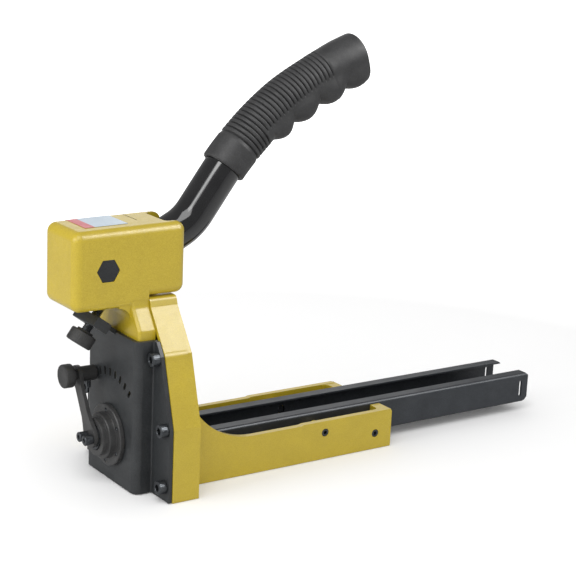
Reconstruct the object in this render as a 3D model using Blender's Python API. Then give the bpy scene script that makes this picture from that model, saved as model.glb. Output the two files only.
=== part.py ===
"""Manual carton-closing stapler: a hand-lever stapler that shuts the top flaps of a filled carton.

The tool is drawn with x = 0 on the front face of the mast, y = 0 the symmetry plane and z = 0 the plane it
rests on. The last lines move it so that the origin is the middle of the mast's resting face.
+X runs back along the magazine, +Y to the far side, +Z up. Dimensions below are millimetres.
"""

import math

import bmesh
import bpy
from mathutils import Vector
from mathutils.geometry import tessellate_polygon

MM = 0.001

# ---- driving dimensions (mm) ----
MAST_DEPTH = 18.5
MAST_OUTLINE = [(53.4, 0.0), (53.4, 46.3), (40.5, 89.4), (22.4, 115.0), (20.6, 118.2), (17.0, 120.3)]
MAST_WALL = 3.1
MAST_BACK_X = 14.5
TOP_SLOT_HALF, TOP_SLOT_Z = 13.6, 105.0
RAIL_HALF, RAIL_WALL, RAIL_END, RAIL_TOP, RAIL_FOOT = 33.9, 4.0, 180.8, 25.6, 0.03
RAIL_ARC_C, RAIL_ARC_R = (70.0, 78.0), 52.4
RAIL_SCREWS = [(126.2, 18.2), (167.6, 10.9)]
MAG_HALF, MAG_Z0, MAG_Z1, MAG_X0, MAG_X1, MAG_SHEET, MAG_LIP = 19.5, 6.2, 27.8, 6.5, 317.0, 1.5, 9.0
PLATE_FRONT, PLATE_HALF, PLATE_TOP, PLATE_SHEET = -14.5, 31.8, 97.0, 2.5
PLATE_SCREWS = [(36.5, 87.0), (48.0, 45.5), (47.5, 9.5)]
BEAR_Y, BEAR_Z, RIVET_R = 0.0, 30.0, 16.2
SLOT_R, SLOT_FIRST, SLOT_PITCH, SLOT_COUNT, SLOT_AT = 40.0, -35.5, 9.3, 9, 7
BOX_X0, BOX_X1, BOX_HALF, BOX_R = -50.3, 25.4, 20.3, 5.8
BOX_Z = (115.4, 120.9, 165.4, 164.2)  # front-bottom, rear-bottom, rear-top, front-top
BOX_STEP_X = -0.3  # the floor steps up here, over the mast
PIVOT = (-28.0, 140.0)
LEVER_ARM, LEVER_UP_DEG, SWING_DEG = 40.0, 16.0, 32.0
TUBE_R, TUBE_WALL = 12.2, 1.8
STOP_TILT = 36.0
STOP_P, STOP_D = (-32.8, 97.9), (math.sin(math.radians(STOP_TILT)), math.cos(math.radians(STOP_TILT)))
TRAVEL = 2.0 * LEVER_ARM * math.sin(math.radians(LEVER_UP_DEG))
CL_Y, CL_Z, CL_R, CL_TAIL = 22.2, 15.5, 19.5, 18.3

for old in list(bpy.data.objects):
    bpy.data.objects.remove(old, do_unlink=True)


def material(name, colour, rough, metal):
    m = bpy.data.materials.new(name)
    m.use_nodes = True
    p = m.node_tree.nodes["Principled BSDF"]
    p.inputs["Base Color"].default_value = (*colour, 1.0)
    p.inputs["Roughness"].default_value = rough
    p.inputs["Metallic"].default_value = metal
    return m


YELLOW = material("yellow_powder_coat", (0.52, 0.40, 0.035), 0.42, 0.0)
BLACK = material("black_coated_steel", (0.045, 0.05, 0.055), 0.4, 0.3)
GLOSS = material("gloss_black_tube", (0.01, 0.01, 0.011), 0.12, 0.0)
RUBBER = material("grip_rubber", (0.05, 0.05, 0.05), 0.75, 0.0)
OXIDE = material("black_oxide_steel", (0.03, 0.032, 0.035), 0.35, 0.7)
STEEL = material("ground_steel", (0.55, 0.56, 0.57), 0.28, 1.0)
BRONZE = material("bearing_bronze", (0.45, 0.29, 0.12), 0.35, 1.0)
SPRING = material("spring_steel", (0.32, 0.32, 0.33), 0.3, 1.0)
LABEL = material("blank_label", (0.62, 0.68, 0.74), 0.35, 0.0)

EMPTIES = {}


def body(name, at=(0, 0, 0), parent=None):
    e = bpy.data.objects.new("axis_" + name, None)
    e.empty_display_size = 0.01
    bpy.context.scene.collection.objects.link(e)
    world = Vector(at) * MM
    if parent:
        e.parent = EMPTIES[parent][0]
        e.location = world - EMPTIES[parent][1]
    else:
        e.location = world
    EMPTIES[name] = (e, world)


def place(name, bm, mat, on=None, smooth=False, cutter=False, colour_tag=None):
    bmesh.ops.remove_doubles(bm, verts=bm.verts, dist=1e-6)
    bmesh.ops.recalc_face_normals(bm, faces=bm.faces)
    me = bpy.data.meshes.new(name)
    if on:
        bmesh.ops.translate(bm, verts=bm.verts, vec=-EMPTIES[on][1])
    bm.to_mesh(me)
    bm.free()
    ob = bpy.data.objects.new(name, me)
    bpy.context.scene.collection.objects.link(ob)
    if mat:
        me.materials.append(mat)
    if on:
        ob.parent = EMPTIES[on][0]
    if smooth:
        me.shade_smooth()
        me.set_sharp_from_angle(angle=math.radians(38))
    if cutter:
        ob.hide_render = True
        ob.display_type = "WIRE"
    return ob


def put(axis, a, b, h):
    return {"x": (h, a, b), "y": (a, h, b), "z": (a, b, h)}[axis]


def prism(outline, axis, lo, hi, holes=()):
    """A solid over a 2-D outline: x takes (y, z) points, y takes (x, z), z takes (x, y)."""
    loops = [list(outline)] + [list(h) for h in holes]
    pts = [p for l in loops for p in l]
    bm = bmesh.new()
    a = [bm.verts.new(Vector(put(axis, p[0], p[1], lo)) * MM) for p in pts]
    b = [bm.verts.new(Vector(put(axis, p[0], p[1], hi)) * MM) for p in pts]
    if len(loops) == 1:
        bm.faces.new(a)
        bm.faces.new(b)
    else:
        for t in tessellate_polygon([[Vector((p[0], p[1], 0)) for p in l] for l in loops]):
            bm.faces.new([a[i] for i in t])
            bm.faces.new([b[i] for i in t])
    k = 0
    for l in loops:
        n = len(l)
        for i in range(n):
            j = (i + 1) % n
            bm.faces.new([a[k + i], a[k + j], b[k + j], b[k + i]])
        k += n
    return bm


def block(x0, x1, y0, y1, z0, z1):
    return prism([(y0, z0), (y1, z0), (y1, z1), (y0, z1)], "x", x0, x1)


def circle(c, r, n=20, phase=0.0):
    return [(c[0] + r * math.cos(phase + 2 * math.pi * i / n), c[1] + r * math.sin(phase + 2 * math.pi * i / n)) for i in range(n)]


def arc(c, r, a0, a1, n):
    return [(c[0] + r * math.cos(math.radians(a0 + (a1 - a0) * i / n)), c[1] + r * math.sin(math.radians(a0 + (a1 - a0) * i / n))) for i in range(n + 1)]


def rounded(points, radius, n=4):
    """A polygon with each corner turned by an arc; radius is one number or one per corner."""
    out = []
    m = len(points)
    for i, p in enumerate(points):
        r = radius[i] if isinstance(radius, (list, tuple)) else radius
        if r <= 0:
            out.append(p)
            continue
        p0, p1, p2 = Vector(points[i - 1]), Vector(p), Vector(points[(i + 1) % m])
        u, v = (p0 - p1).normalized(), (p2 - p1).normalized()
        half = math.acos(max(-1, min(1, u.dot(v)))) / 2
        d = r / math.tan(half)
        c = p1 + (u + v).normalized() * (r / math.sin(half))
        s, e = p1 + u * d - c, p1 + v * d - c
        a0 = math.atan2(s.y, s.x)
        da = math.atan2(e.y, e.x) - a0
        while da > math.pi:
            da -= 2 * math.pi
        while da < -math.pi:
            da += 2 * math.pi
        out += [(c.x + r * math.cos(a0 + da * k / n), c.y + r * math.sin(a0 + da * k / n)) for k in range(n + 1)]
    return out


def basis(direction):
    d = Vector(direction).normalized()
    side = Vector((0, 1, 0)) if abs(d.y) < 0.9 else Vector((0, 0, 1))
    u = (side - d * side.dot(d)).normalized()
    return d, u, d.cross(u)


def lathe(profile, origin, direction, n=20, phase=0.0):
    """Turns a closed loop of (height, radius) points about a line."""
    d, u, v = basis(direction)
    o = Vector(origin)
    bm = bmesh.new()
    rings = []
    for h, r in profile:
        if r < 1e-9:
            rings.append([bm.verts.new((o + d * h) * MM)])
        else:
            rings.append([bm.verts.new((o + d * h + (u * math.cos(phase + 2 * math.pi * i / n) + v * math.sin(phase + 2 * math.pi * i / n)) * r) * MM) for i in range(n)])
    for k in range(len(rings)):
        a, b = rings[k], rings[(k + 1) % len(rings)]
        if len(a) == 1 and len(b) == 1:
            continue
        for i in range(n):
            j = (i + 1) % n
            if len(a) == 1:
                bm.faces.new([a[0], b[i], b[j]])
            elif len(b) == 1:
                bm.faces.new([a[i], a[j], b[0]])
            else:
                bm.faces.new([a[i], a[j], b[j], b[i]])
    return bm


def rod(origin, direction, h0, h1, r, n=16, chamfer=0.0, phase=0.0):
    c = chamfer
    prof = [(h0, 0), (h0, r - c), (h0 + c, r), (h1 - c, r), (h1, r - c), (h1, 0)] if c else [(h0, 0), (h0, r), (h1, r), (h1, 0)]
    return lathe(prof, origin, direction, n, phase)


def sleeve(origin, direction, h0, h1, r0, r1, n=20):
    return lathe([(h0, r0), (h0, r1), (h1, r1), (h1, r0)], origin, direction, n)


def cut(ob, tool_bm, name, op="DIFFERENCE"):
    tool = place("tool_" + name, tool_bm, None, cutter=True)
    if ob.parent:
        tool.location = (0, 0, 0)
    m = ob.modifiers.new(name, "BOOLEAN")
    m.operation = op
    m.solver = "EXACT"
    m.object = tool
    return tool


def socket_screw(name, at, direction, head_r, head_h, shank_r, length, across, on=None, n=14):
    """A cap screw: the head stands along -direction from its seat, the shank runs along +direction, with a hexagon socket."""
    prof = [(-head_h, 0), (-head_h, head_r - 0.5), (-head_h + 0.5, head_r), (0, head_r), (0, shank_r), (length, shank_r), (length, 0)]
    ob = place(name, lathe(prof, at, direction, n), OXIDE, on, smooth=True)
    tool = rod(at, direction, -head_h - 0.5, -head_h * 0.42, across / math.sqrt(3), 6)
    t = cut(ob, tool, name + "_socket")
    return ob


def mirror_outline(half):
    """Right half outline (y >= 0, bottom to top) closed by its mirror image."""
    return half + [(-y, z) for y, z in reversed(half)]


def offset_half(half, wall, floor, roof):
    """The half outline moved inwards by wall, cut off at floor and roof."""
    moved = []
    for i in range(len(half) - 1):
        (y0, z0), (y1, z1) = half[i], half[i + 1]
        dy, dz = y1 - y0, z1 - z0
        l = math.hypot(dy, dz)
        nx, nz = -dz / l, dy / l
        moved.append(((y0 + nx * wall, z0 + nz * wall), (y1 + nx * wall, z1 + nz * wall)))
    pts = [(moved[0][0][0], floor)]
    for (a, b), (c, d) in zip(moved, moved[1:]):
        x1, y1, x2, y2 = *a, *b
        x3, y3, x4, y4 = *c, *d
        den = (x1 - x2) * (y3 - y4) - (y1 - y2) * (x3 - x4)
        px = ((x1 * y2 - y1 * x2) * (x3 - x4) - (x1 - x2) * (x3 * y4 - y3 * x4)) / den
        pz = ((x1 * y2 - y1 * x2) * (y3 - y4) - (y1 - y2) * (x3 * y4 - y3 * x4)) / den
        if pz >= roof:
            break
        pts.append((px, pz))
    a, b = moved[len(pts) - 1]
    k = (roof - a[1]) / (b[1] - a[1])
    pts.append((a[0] + (b[0] - a[0]) * k, roof))
    return pts


# ---- joint axes ----
D3 = (STOP_D[0], 0.0, STOP_D[1])
body("handle", (PIVOT[0], 0, PIVOT[1]))
ROLL = (PIVOT[0] + LEVER_ARM * math.cos(math.radians(LEVER_UP_DEG)), PIVOT[1] + LEVER_ARM * math.sin(math.radians(LEVER_UP_DEG)))
body("roller", (ROLL[0], 0, ROLL[1]), "handle")
body("driver", (9.0, 0, 71.0))
body("clincher_far", (0, CL_Y, CL_Z))
body("clincher_near", (0, -CL_Y, CL_Z))
body("adjuster", (-26.0, BEAR_Y, BEAR_Z))
KNOB_A = math.radians(SLOT_FIRST + SLOT_PITCH * SLOT_AT)
KNOB_Y, KNOB_Z = BEAR_Y + SLOT_R * math.sin(KNOB_A), BEAR_Z + SLOT_R * math.cos(KNOB_A)
body("plunger", (-30.0, KNOB_Y, KNOB_Z), "adjuster")
body("stop_screw", (STOP_P[0], 0, STOP_P[1]))
body("stop_knob", (STOP_P[0], 0, STOP_P[1]), "stop_screw")
body("feeder", (28.0, 0, 16.0))

# ---- frame casting: mast, rails and screw bosses in one piece ----
outer = mirror_outline(MAST_OUTLINE)
frame = place("frame_casting", prism(outer, "x", 0.0, MAST_DEPTH), YELLOW)
cavity = mirror_outline(offset_half(MAST_OUTLINE, MAST_WALL, -1.0, 112.0))
cut(frame, prism(cavity, "x", -1.0, MAST_BACK_X), "mast_cavity")
cut(frame, block(-1.0, MAST_DEPTH + 1, -TOP_SLOT_HALF, TOP_SLOT_HALF, TOP_SLOT_Z, 125.0), "mast_top_slot")
cut(frame, block(8.0, MAST_BACK_X + 0.5, -20.0, 20.0, 28.3, 31.0), "spring_shelf", "UNION")
side = [(MAST_DEPTH - 0.6, RAIL_FOOT), (RAIL_END, RAIL_FOOT), (RAIL_END, RAIL_TOP)] + [p for p in reversed(arc(RAIL_ARC_C, RAIL_ARC_R, 190.8, 270.0, 10))]
side[-1] = (MAST_DEPTH - 0.6, side[-1][1])
for s in (1, -1):
    y0, y1 = sorted((s * (RAIL_HALF - RAIL_WALL), s * RAIL_HALF))
    cut(frame, prism(side, "y", y0, y1), "rail_%d" % s, "UNION")
    y0, y1 = sorted((s * 19.8, s * (RAIL_HALF - 0.5)))
    cut(frame, block(172.8, RAIL_END - 0.3, y0, y1, 0.3, RAIL_TOP - 0.3), "rail_lug_%d" % s, "UNION")
    (xa, za), (xb, zb) = RAIL_SCREWS
    cut(frame, rod((xa, 0, za), (0, s, 0), 20.0, RAIL_HALF - 1.0, 4.3, 16), "rail_boss_%d" % s, "UNION")
    cut(frame, block(xb - 5.5, 173.2, *sorted((s * 20.3, s * (RAIL_HALF - 1.0))), 4.5, zb + 5.5), "lug_boss_%d" % s, "UNION")
    for i, (y, z) in enumerate(PLATE_SCREWS):
        cut(frame, rod((0, s * y, z), (1, 0, 0), 0.02, MAST_BACK_X + 1.0, 5.0, 14), "boss_%d_%d" % (s, i), "UNION")
for s in (1, -1):
    for i, (x, z) in enumerate(RAIL_SCREWS):
        cut(frame, rod((x, 0, z), (0, s, 0), 15.0, 40.0, 2.85, 14), "rail_hole_%d_%d" % (s, i))
    for i, (y, z) in enumerate(PLATE_SCREWS):
        cut(frame, rod((0, s * y, z), (1, 0, 0), -1.0, 11.0, 2.65, 12), "screw_hole_%d_%d" % (s, i))
    cut(frame, rod((0, s * CL_Y, CL_Z), (1, 0, 0), 10.0, 20.0, 2.35, 12), "clincher_hole_%d" % s)
cut(frame, block(12.0, MAST_DEPTH + 1, -19.8, 19.8, 5.9, 28.1), "magazine_window")

# ---- front plate: folded hat section with the stop tab on its top edge ----
f, h, t = PLATE_FRONT, PLATE_HALF, PLATE_SHEET
hat = [(-0.2, 53.0), (-0.2, h - t + 0.3), (-0.2, h - t), (f + t, h - t), (f + t, -(h - t)), (-0.2, -(h - t)), (-0.2, -53.0), (-2.7, -53.0), (-2.7, -h), (f, -h), (f, h), (-2.7, h), (-2.7, 53.0)]
hat_r = [0, 0, 0, 0.4, 0.4, 0, 0, 0, 1.2, 3.0, 3.0, 1.2, 0]
plate = place("front_plate", prism(rounded(hat, hat_r, 3), "z", 0.4, PLATE_TOP), BLACK)
trim = [(52.9, -5.0), (52.9, 46.2), (40.1, 89.0), (33.4, 98.5), (33.4, 130.0)]
cut(plate, prism(mirror_outline(trim), "x", -30.0, 5.0), "flange_trim", "INTERSECT")
holes = []
d2, n2 = Vector(STOP_D), Vector((STOP_D[1], -STOP_D[0]))


def stop_pt(along, across):
    """A point in the XZ plane: distance along the stop screw's line and to its rear side."""
    p = Vector(STOP_P) + d2 * along + n2 * across
    return (p.x, p.y)


# a narrow tab leans forward from the plate's top edge and carries the threaded bar of the stop screw
tab = [stop_pt(9.0, -2.0), stop_pt(11.5, -2.0), stop_pt(11.5, 17.1), (-12.02, 97.0), (-12.02, 94.0), (-14.4, 94.0), (-14.4, 95.6)]
cut(plate, prism(tab, "y", -4.5, 4.5), "stop_tab", "UNION")
bar = [stop_pt(5.2, -5.8), stop_pt(11.8, -5.8), stop_pt(11.8, 5.3), stop_pt(5.2, 5.3)]
cut(plate, prism(bar, "y", -13.5, 13.5), "stop_bar", "UNION")
cut(plate, rod((STOP_P[0], 0, STOP_P[1]), D3, 4.0, 13.0, 3.25, 16), "stop_thread")
for k in range(SLOT_COUNT):
    a = math.radians(SLOT_FIRST + SLOT_PITCH * k)
    c = Vector((BEAR_Y + SLOT_R * math.sin(a), BEAR_Z + SLOT_R * math.cos(a)))
    u, w = Vector((math.sin(a), math.cos(a))), Vector((math.cos(a), -math.sin(a)))
    pts = []
    for j in range(4):
        q = math.pi * j / 3
        pts.append(c + u * (1.35 + 1.25 * math.sin(q)) + w * (1.25 * math.cos(q)))
    for j in range(4):
        q = math.pi + math.pi * j / 3
        pts.append(c + u * (-1.35 + 1.25 * math.sin(q)) + w * (1.25 * math.cos(q)))
    cut(plate, prism([(p.x, p.y) for p in pts], "x", -16.0, -11.0), "slot_%d" % k)
cut(plate, rod((0, BEAR_Y, BEAR_Z), (1, 0, 0), -16.0, -11.0, 11.0, 20), "bearing_opening")
for s in (1, -1):
    for i, (y, z) in enumerate(PLATE_SCREWS):
        cut(plate, rod((0, s * y, z), (1, 0, 0), -4.0, 1.0, 2.75, 14), "flange_hole_%d_%d" % (s, i))
for k in range(6):
    a = math.radians(30 + 60 * k)
    cut(plate, rod((0, BEAR_Y + RIVET_R * math.cos(a), BEAR_Z + RIVET_R * math.sin(a)), (1, 0, 0), -16.0, -11.0, 1.45, 10), "rivet_hole_%d" % k)

k = 0
for s in (-1, 1):
    for y, z in PLATE_SCREWS:
        k += 1
        socket_screw("plate_screw_%d" % k, (-2.85, s * y, z), (1, 0, 0), 4.25, 5.0, 2.5, 12.6, 4.0)

# ---- head casting: box over the pivot, neck held behind the front plate ----
z0, z1, z2, z3 = BOX_Z
slope = (z2 - z3) / (BOX_X1 - BOX_X0)


def top_z(x):
    return z3 + slope * (x - BOX_X0)


def box_loft(n):
    """The rounded box as sections across x; its floor steps up at BOX_STEP_X to pass over the mast."""
    steps = [math.pi / 2 * k / n for k in range(n + 1)]
    ends = [(BOX_R * (1 - math.cos(t)), BOX_R * (1 - max(math.sin(t), 0.2))) for t in steps]
    rows = [(BOX_X0 + d, z0, inset) for d, inset in ends]
    rows += [(BOX_STEP_X - 0.3, z0, 0.0), (BOX_STEP_X + 0.3, z1, 0.0)]
    rows += [(BOX_X1 - d, z1, inset) for d, inset in reversed(ends)]
    bm = bmesh.new()
    rings = []
    for x, floor, inset in rows:
        r = BOX_R - inset
        y1, lo, hi = BOX_HALF - inset, floor + inset, top_z(x) - inset
        ring_pts = []
        for cy, cz, a0 in ((y1 - r, lo + r, -90), (y1 - r, hi - r, 0), (-y1 + r, hi - r, 90), (-y1 + r, lo + r, 180)):
            ring_pts += [(cy + r * math.cos(math.radians(a0 + 90 * k / n)), cz + r * math.sin(math.radians(a0 + 90 * k / n))) for k in range(n + 1)]
        rings.append([bm.verts.new(Vector((x, y, z)) * MM) for y, z in ring_pts])
    m = len(rings[0])
    for a, b in zip(rings, rings[1:]):
        for i in range(m):
            j = (i + 1) % m
            bm.faces.new([a[i], a[j], b[j], b[i]])
    bm.faces.new(rings[0])
    bm.faces.new(rings[-1])
    return bm


head = place("head_casting", box_loft(4), YELLOW)
neck = [(20.3, 124.0), (20.3, 115.0), (29.0, 102.6), (29.0, 52.0)]
cut(head, prism([(y, z) for y, z in neck] + [(-y, z) for y, z in reversed(neck)], "x", -11.7, -0.3), "neck", "UNION")
cut(head, block(-44.0, 30.0, -13.3, 13.3, 120.0, 161.0), "box_hollow")
cut(head, block(0.3, 30.0, -13.3, 13.3, 110.0, 140.0), "box_floor_opening")
cut(head, block(13.0, 30.0, -13.3, 13.3, 150.0, 170.0), "handle_notch")
cut(head, rod((PIVOT[0], 0, PIVOT[1]), (0, 1, 0), -21.0, -15.0, 13.5 / math.sqrt(3), 6, phase=math.pi / 2), "bolt_pocket")
cut(head, rod((PIVOT[0], 0, PIVOT[1]), (0, 1, 0), 15.0, 21.0, 13.5 / math.sqrt(3), 6, phase=math.pi / 2), "nut_pocket")
cut(head, rod((PIVOT[0], 0, PIVOT[1]), (0, 1, 0), -16.0, 16.0, 4.3, 18), "pivot_hole")
cut(head, rod((STOP_P[0], 0, STOP_P[1]), D3, 14.0, 34.0, 3.5, 16), "stop_hole")
place("name_label", prism([(-38.0, top_z(-38.0) + 0.1), (-9.5, top_z(-9.5) + 0.1), (-9.5, top_z(-9.5) + 0.4), (-38.0, top_z(-38.0) + 0.4)], "y", -9.2, 13.2), LABEL)
ph = (PIVOT[0], 0, PIVOT[1])
pb = place("pivot_bolt", rod(ph, (0, 1, 0), -20.2, -15.2, 13.0 / math.sqrt(3), 6, phase=math.pi / 2), OXIDE)
cut(pb, rod(ph, (0, 1, 0), -15.8, 19.4, 4.0, 18), "bolt_shank", "UNION")
pn = place("pivot_nut", rod(ph, (0, 1, 0), 15.2, 20.2, 13.0 / math.sqrt(3), 6, phase=math.pi / 2), OXIDE)
cut(pn, rod(ph, (0, 1, 0), 14.0, 21.0, 4.12, 18), "nut_thread")

# ---- magazine ----
m0, m1, zz0, zz1, sh = MAG_HALF, MAG_HALF - MAG_SHEET, MAG_Z0, MAG_Z1, MAG_SHEET
lip = m0 - MAG_LIP
prof = [(m0, zz0), (m0, zz1), (lip, zz1), (lip, zz1 - sh), (m1, zz1 - sh), (m1, zz0 + sh), (-m1, zz0 + sh), (-m1, zz1 - sh), (-lip, zz1 - sh), (-lip, zz1), (-m0, zz1), (-m0, zz0)]
mag = place("magazine_channel", prism(rounded(prof, [1.6, 1.6, 0, 0, 0, 0, 0, 0, 0, 0, 1.6, 1.6], 3), "x", MAG_X0, MAG_X1), BLACK)
cut(mag, block(309.3, 311.3, -22.0, 22.0, 11.0, 22.5), "rear_slot")
cut(mag, prism([(312.5, 5.0), (318.0, 5.0), (318.0, 11.0)], "y", -22.0, 22.0), "rear_clip")
for i, (x, z) in enumerate(RAIL_SCREWS):
    cut(mag, rod((x, 0, z), (0, 1, 0), -22.0, 22.0, 2.85, 14), "mag_hole_%d" % i)
k = 0
for s in (-1, 1):
    for x, z in RAIL_SCREWS:
        k += 1
        ob = place("rail_screw_%d" % k, rod((x, 0, z), (0, s, 0), 18.15, 33.85, 2.5, 16, 0.25), OXIDE, smooth=True)
        cut(ob, rod((x, 0, z), (0, s, 0), 31.4, 35.0, 2.5 / math.sqrt(3), 6), "rail_socket_%d" % k)

# ---- feeder inside the magazine ----
fb = place("pusher_block", prism(rounded([(-17.6, 8.1), (17.6, 8.1), (17.6, 24.6), (-17.6, 24.6)], 1.0, 2), "x", 20.0, 40.0), BLACK, "feeder")
cut(fb, prism(circle((30.0, 16.4), 6.6, 16), "y", -7.0, 7.0), "drum_pocket")
cut(fb, block(22.0, 38.0, -7.0, 7.0, 16.4, 30.0), "drum_opening")
cut(fb, rod((30.0, 0, 16.4), (0, 1, 0), -14.0, 14.0, 2.1, 14), "drum_pin_hole")
place("feed_spring_drum", sleeve((30.0, 0, 16.4), (0, 1, 0), -6.5, 6.5, 2.3, 6.2, 18), SPRING, "feeder", smooth=True)
place("drum_pin", rod((30.0, 0, 16.4), (0, 1, 0), -13.5, 13.5, 1.95, 14), STEEL, "feeder", smooth=True)
tab_half = 5.0
place("pusher_tab", prism([(34.0, 24.75), (39.8, 24.75), (39.8, 33.0), (38.2, 33.0), (38.2, 26.6), (34.0, 26.1)], "y", -tab_half, tab_half), OXIDE, "feeder")

# ---- bearing and eccentric shaft of the depth adjuster ----
o = (0, BEAR_Y, BEAR_Z)
place("bearing_flange", lathe([(-14.7, 8.2), (-14.7, 19.6), (-17.0, 19.6), (-17.7, 18.9), (-17.7, 14.5), (-21.6, 14.5), (-22.1, 14.0), (-22.1, 12.0), (-25.1, 12.0), (-25.6, 11.5), (-25.6, 8.2)], o, (1, 0, 0), 24), BLACK, smooth=True)
flange = bpy.data.objects["bearing_flange"]
for k in range(6):
    a = math.radians(30 + 60 * k)
    c = (0, BEAR_Y + RIVET_R * math.cos(a), BEAR_Z + RIVET_R * math.sin(a))
    cut(flange, rod(c, (1, 0, 0), -19.0, -14.0, 1.45, 10), "rivet_bore_%d" % k)
    place("flange_rivet_%d" % (k + 1), rod(c, (1, 0, 0), -17.5, -12.1, 1.3, 10), OXIDE, smooth=True)
shaft_prof = [(-26.1, 0), (-26.1, 8.0), (-12.4, 8.0), (-12.4, 0)]
sh_ob = place("eccentric_shaft", lathe(shaft_prof, o, (1, 0, 0), 24), STEEL, "adjuster", smooth=True)
cut(sh_ob, rod((0, BEAR_Y, BEAR_Z - 2.6), (1, 0, 0), -13.0, -6.0, 4.0, 16), "eccentric_pin", "UNION")
SCREW_DY = 3.6
for s in (1, -1):
    cut(sh_ob, rod((0, s * SCREW_DY, BEAR_Z), (1, 0, 0), -27.0, -19.0, 1.6, 10), "tap_%d" % s)
top = Vector((KNOB_Y, KNOB_Z))
low = Vector((BEAR_Y, BEAR_Z))
along = (top - low).normalized()
across = Vector((along.y, -along.x))
pts = []
for j in range(9):
    q = math.pi * j / 8
    pts.append(low - along * (6.5 * math.sin(q)) - across * (7.6 * math.cos(q)) * 0.98)
pts += [low + along * 9.5 + across * 5.2]
for j in range(9):
    q = math.pi * j / 8
    pts.append(top + along * (6.0 * math.sin(q)) + across * (6.0 * math.cos(q)))
pts += [low + along * 9.5 - across * 5.2]
arm = place("adjust_lever", prism([(p.x, p.y) for p in pts], "x", -28.8, -26.3, holes=[circle((KNOB_Y, KNOB_Z), 3.4, 14)] + [circle((s * SCREW_DY, BEAR_Z), 1.75, 10) for s in (1, -1)]), BLACK, "adjuster")
for i, s in enumerate((1, -1)):
    socket_screw("lever_screw_%d" % (i + 1), (-29.0, s * SCREW_DY, BEAR_Z), (1, 0, 0), 3.1, 5.6, 1.5, 9.4, 2.5, "adjuster", 16)

# ---- spring plunger that locks the adjuster ----
pk = (0, KNOB_Y, KNOB_Z)
barrel = place("plunger_barrel", lathe([(-30.6, 1.9), (-30.6, 3.2), (-26.1, 3.2), (-26.1, 4.8), (-16.0, 4.8), (-15.3, 4.1), (-15.3, 1.9), (-17.0, 1.9), (-17.0, 3.2), (-25.3, 3.2), (-25.3, 1.9)], pk, (1, 0, 0), 20), OXIDE, "adjuster", smooth=True)
place("plunger_knob", lathe([(-37.7, 0), (-37.7, 6.9), (-37.1, 7.5), (-32.2, 7.5), (-31.6, 6.9), (-31.6, 3.6), (-34.3, 3.6), (-34.3, 1.9), (-36.0, 1.9), (-36.0, 0)], pk, (1, 0, 0), 24), BLACK, "plunger", smooth=True)
place("plunger_pin", lathe([(-35.8, 0), (-35.8, 1.7), (-20.9, 1.7), (-20.9, 2.95), (-19.7, 2.95), (-19.7, 1.7), (-17.9, 1.7), (-17.6, 1.0), (-15.1, 1.0), (-14.8, 0.7), (-14.8, 0)], pk, (1, 0, 0), 14), STEEL, "plunger", smooth=True)
place("barrel_set_screw", rod((-19.5, KNOB_Y, KNOB_Z), (0, 0, -1), 5.1, 9.6, 1.4, 12, 0.2), OXIDE, "adjuster", smooth=True)


def coil(centre, direction, r, wire, length, turns, steps, sides):
    """A helical spring with closed ends, swept along a computed helix."""
    d, u, v = basis(direction)
    c = Vector(centre)
    n = int(turns * steps)
    path = [c + d * (length * i / n) + (u * math.cos(2 * math.pi * turns * i / n) + v * math.sin(2 * math.pi * turns * i / n)) * r for i in range(n + 1)]
    bm = bmesh.new()
    rings = []
    for i, p in enumerate(path):
        tan = (path[min(i + 1, n)] - path[max(i - 1, 0)]).normalized()
        a = 2 * math.pi * turns * i / n
        rad = u * math.cos(a) + v * math.sin(a)
        rad = (rad - tan * rad.dot(tan)).normalized()
        bi = tan.cross(rad)
        rings.append([bm.verts.new((p + (rad * math.cos(2 * math.pi * k / sides) + bi * math.sin(2 * math.pi * k / sides)) * wire) * MM) for k in range(sides)])
    for a, b in zip(rings, rings[1:]):
        for k in range(sides):
            j = (k + 1) % sides
            bm.faces.new([a[k], a[j], b[j], b[k]])
    bm.faces.new(rings[0])
    bm.faces.new(rings[-1])
    return bm


place("plunger_spring", coil((-24.95, KNOB_Y, KNOB_Z), (1, 0, 0), 2.45, 0.3, 2.9, 3, 8, 4), SPRING, "adjuster", smooth=True)

# ---- stop screw ----
sp = (STOP_P[0], 0, STOP_P[1])
place("stop_stud", rod(sp, D3, -4.0, 32.6, 3.0, 16, 0.5), OXIDE, "stop_screw", smooth=True)
place("stop_knob", lathe([(-8.2, 3.15), (-8.2, 7.7), (-7.6, 8.3), (-0.6, 8.3), (0.0, 7.7), (0.0, 5.2), (1.2, 5.2), (1.2, 3.15)], sp, D3, 20), BLACK, "stop_knob", smooth=True)

# ---- driver: crosshead, blade and return springs ----
cross = place("crosshead", prism([(-39.5, 66.0), (39.5, 66.0), (39.5, 76.0), (4.5, 76.0), (4.5, 144.8), (-4.5, 144.8), (-4.5, 76.0), (-39.5, 76.0)], "x", 5.2, 14.0), STEEL, "driver")
TAIL_TOP = CL_Z + CL_TAIL * math.sin(math.radians(37)) + 2.2
nose = TAIL_TOP + 1.2
for s in (1, -1):
    foot = [(34.5, 75.8), (34.5, nose + 5.0), (37.8, nose), (39.4, nose), (39.4, 75.8)]
    cut(cross, prism([(s * y, z) for y, z in foot], "x", 1.2, 7.0), "foot_%d" % s, "UNION")
    cut(cross, rod((0, s * 10.0, 71.0), (1, 0, 0), 3.0, 12.2, 1.75, 12), "driver_tap_%d" % s)
blade = place("driver_blade", prism([(-17.2, 23.6), (17.2, 23.6), (17.2, 75.5), (-17.2, 75.5)], "x", 3.0, 5.0, holes=[circle((s * 10.0, 71.0), 2.0, 12) for s in (1, -1)]), STEEL, "driver")
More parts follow.
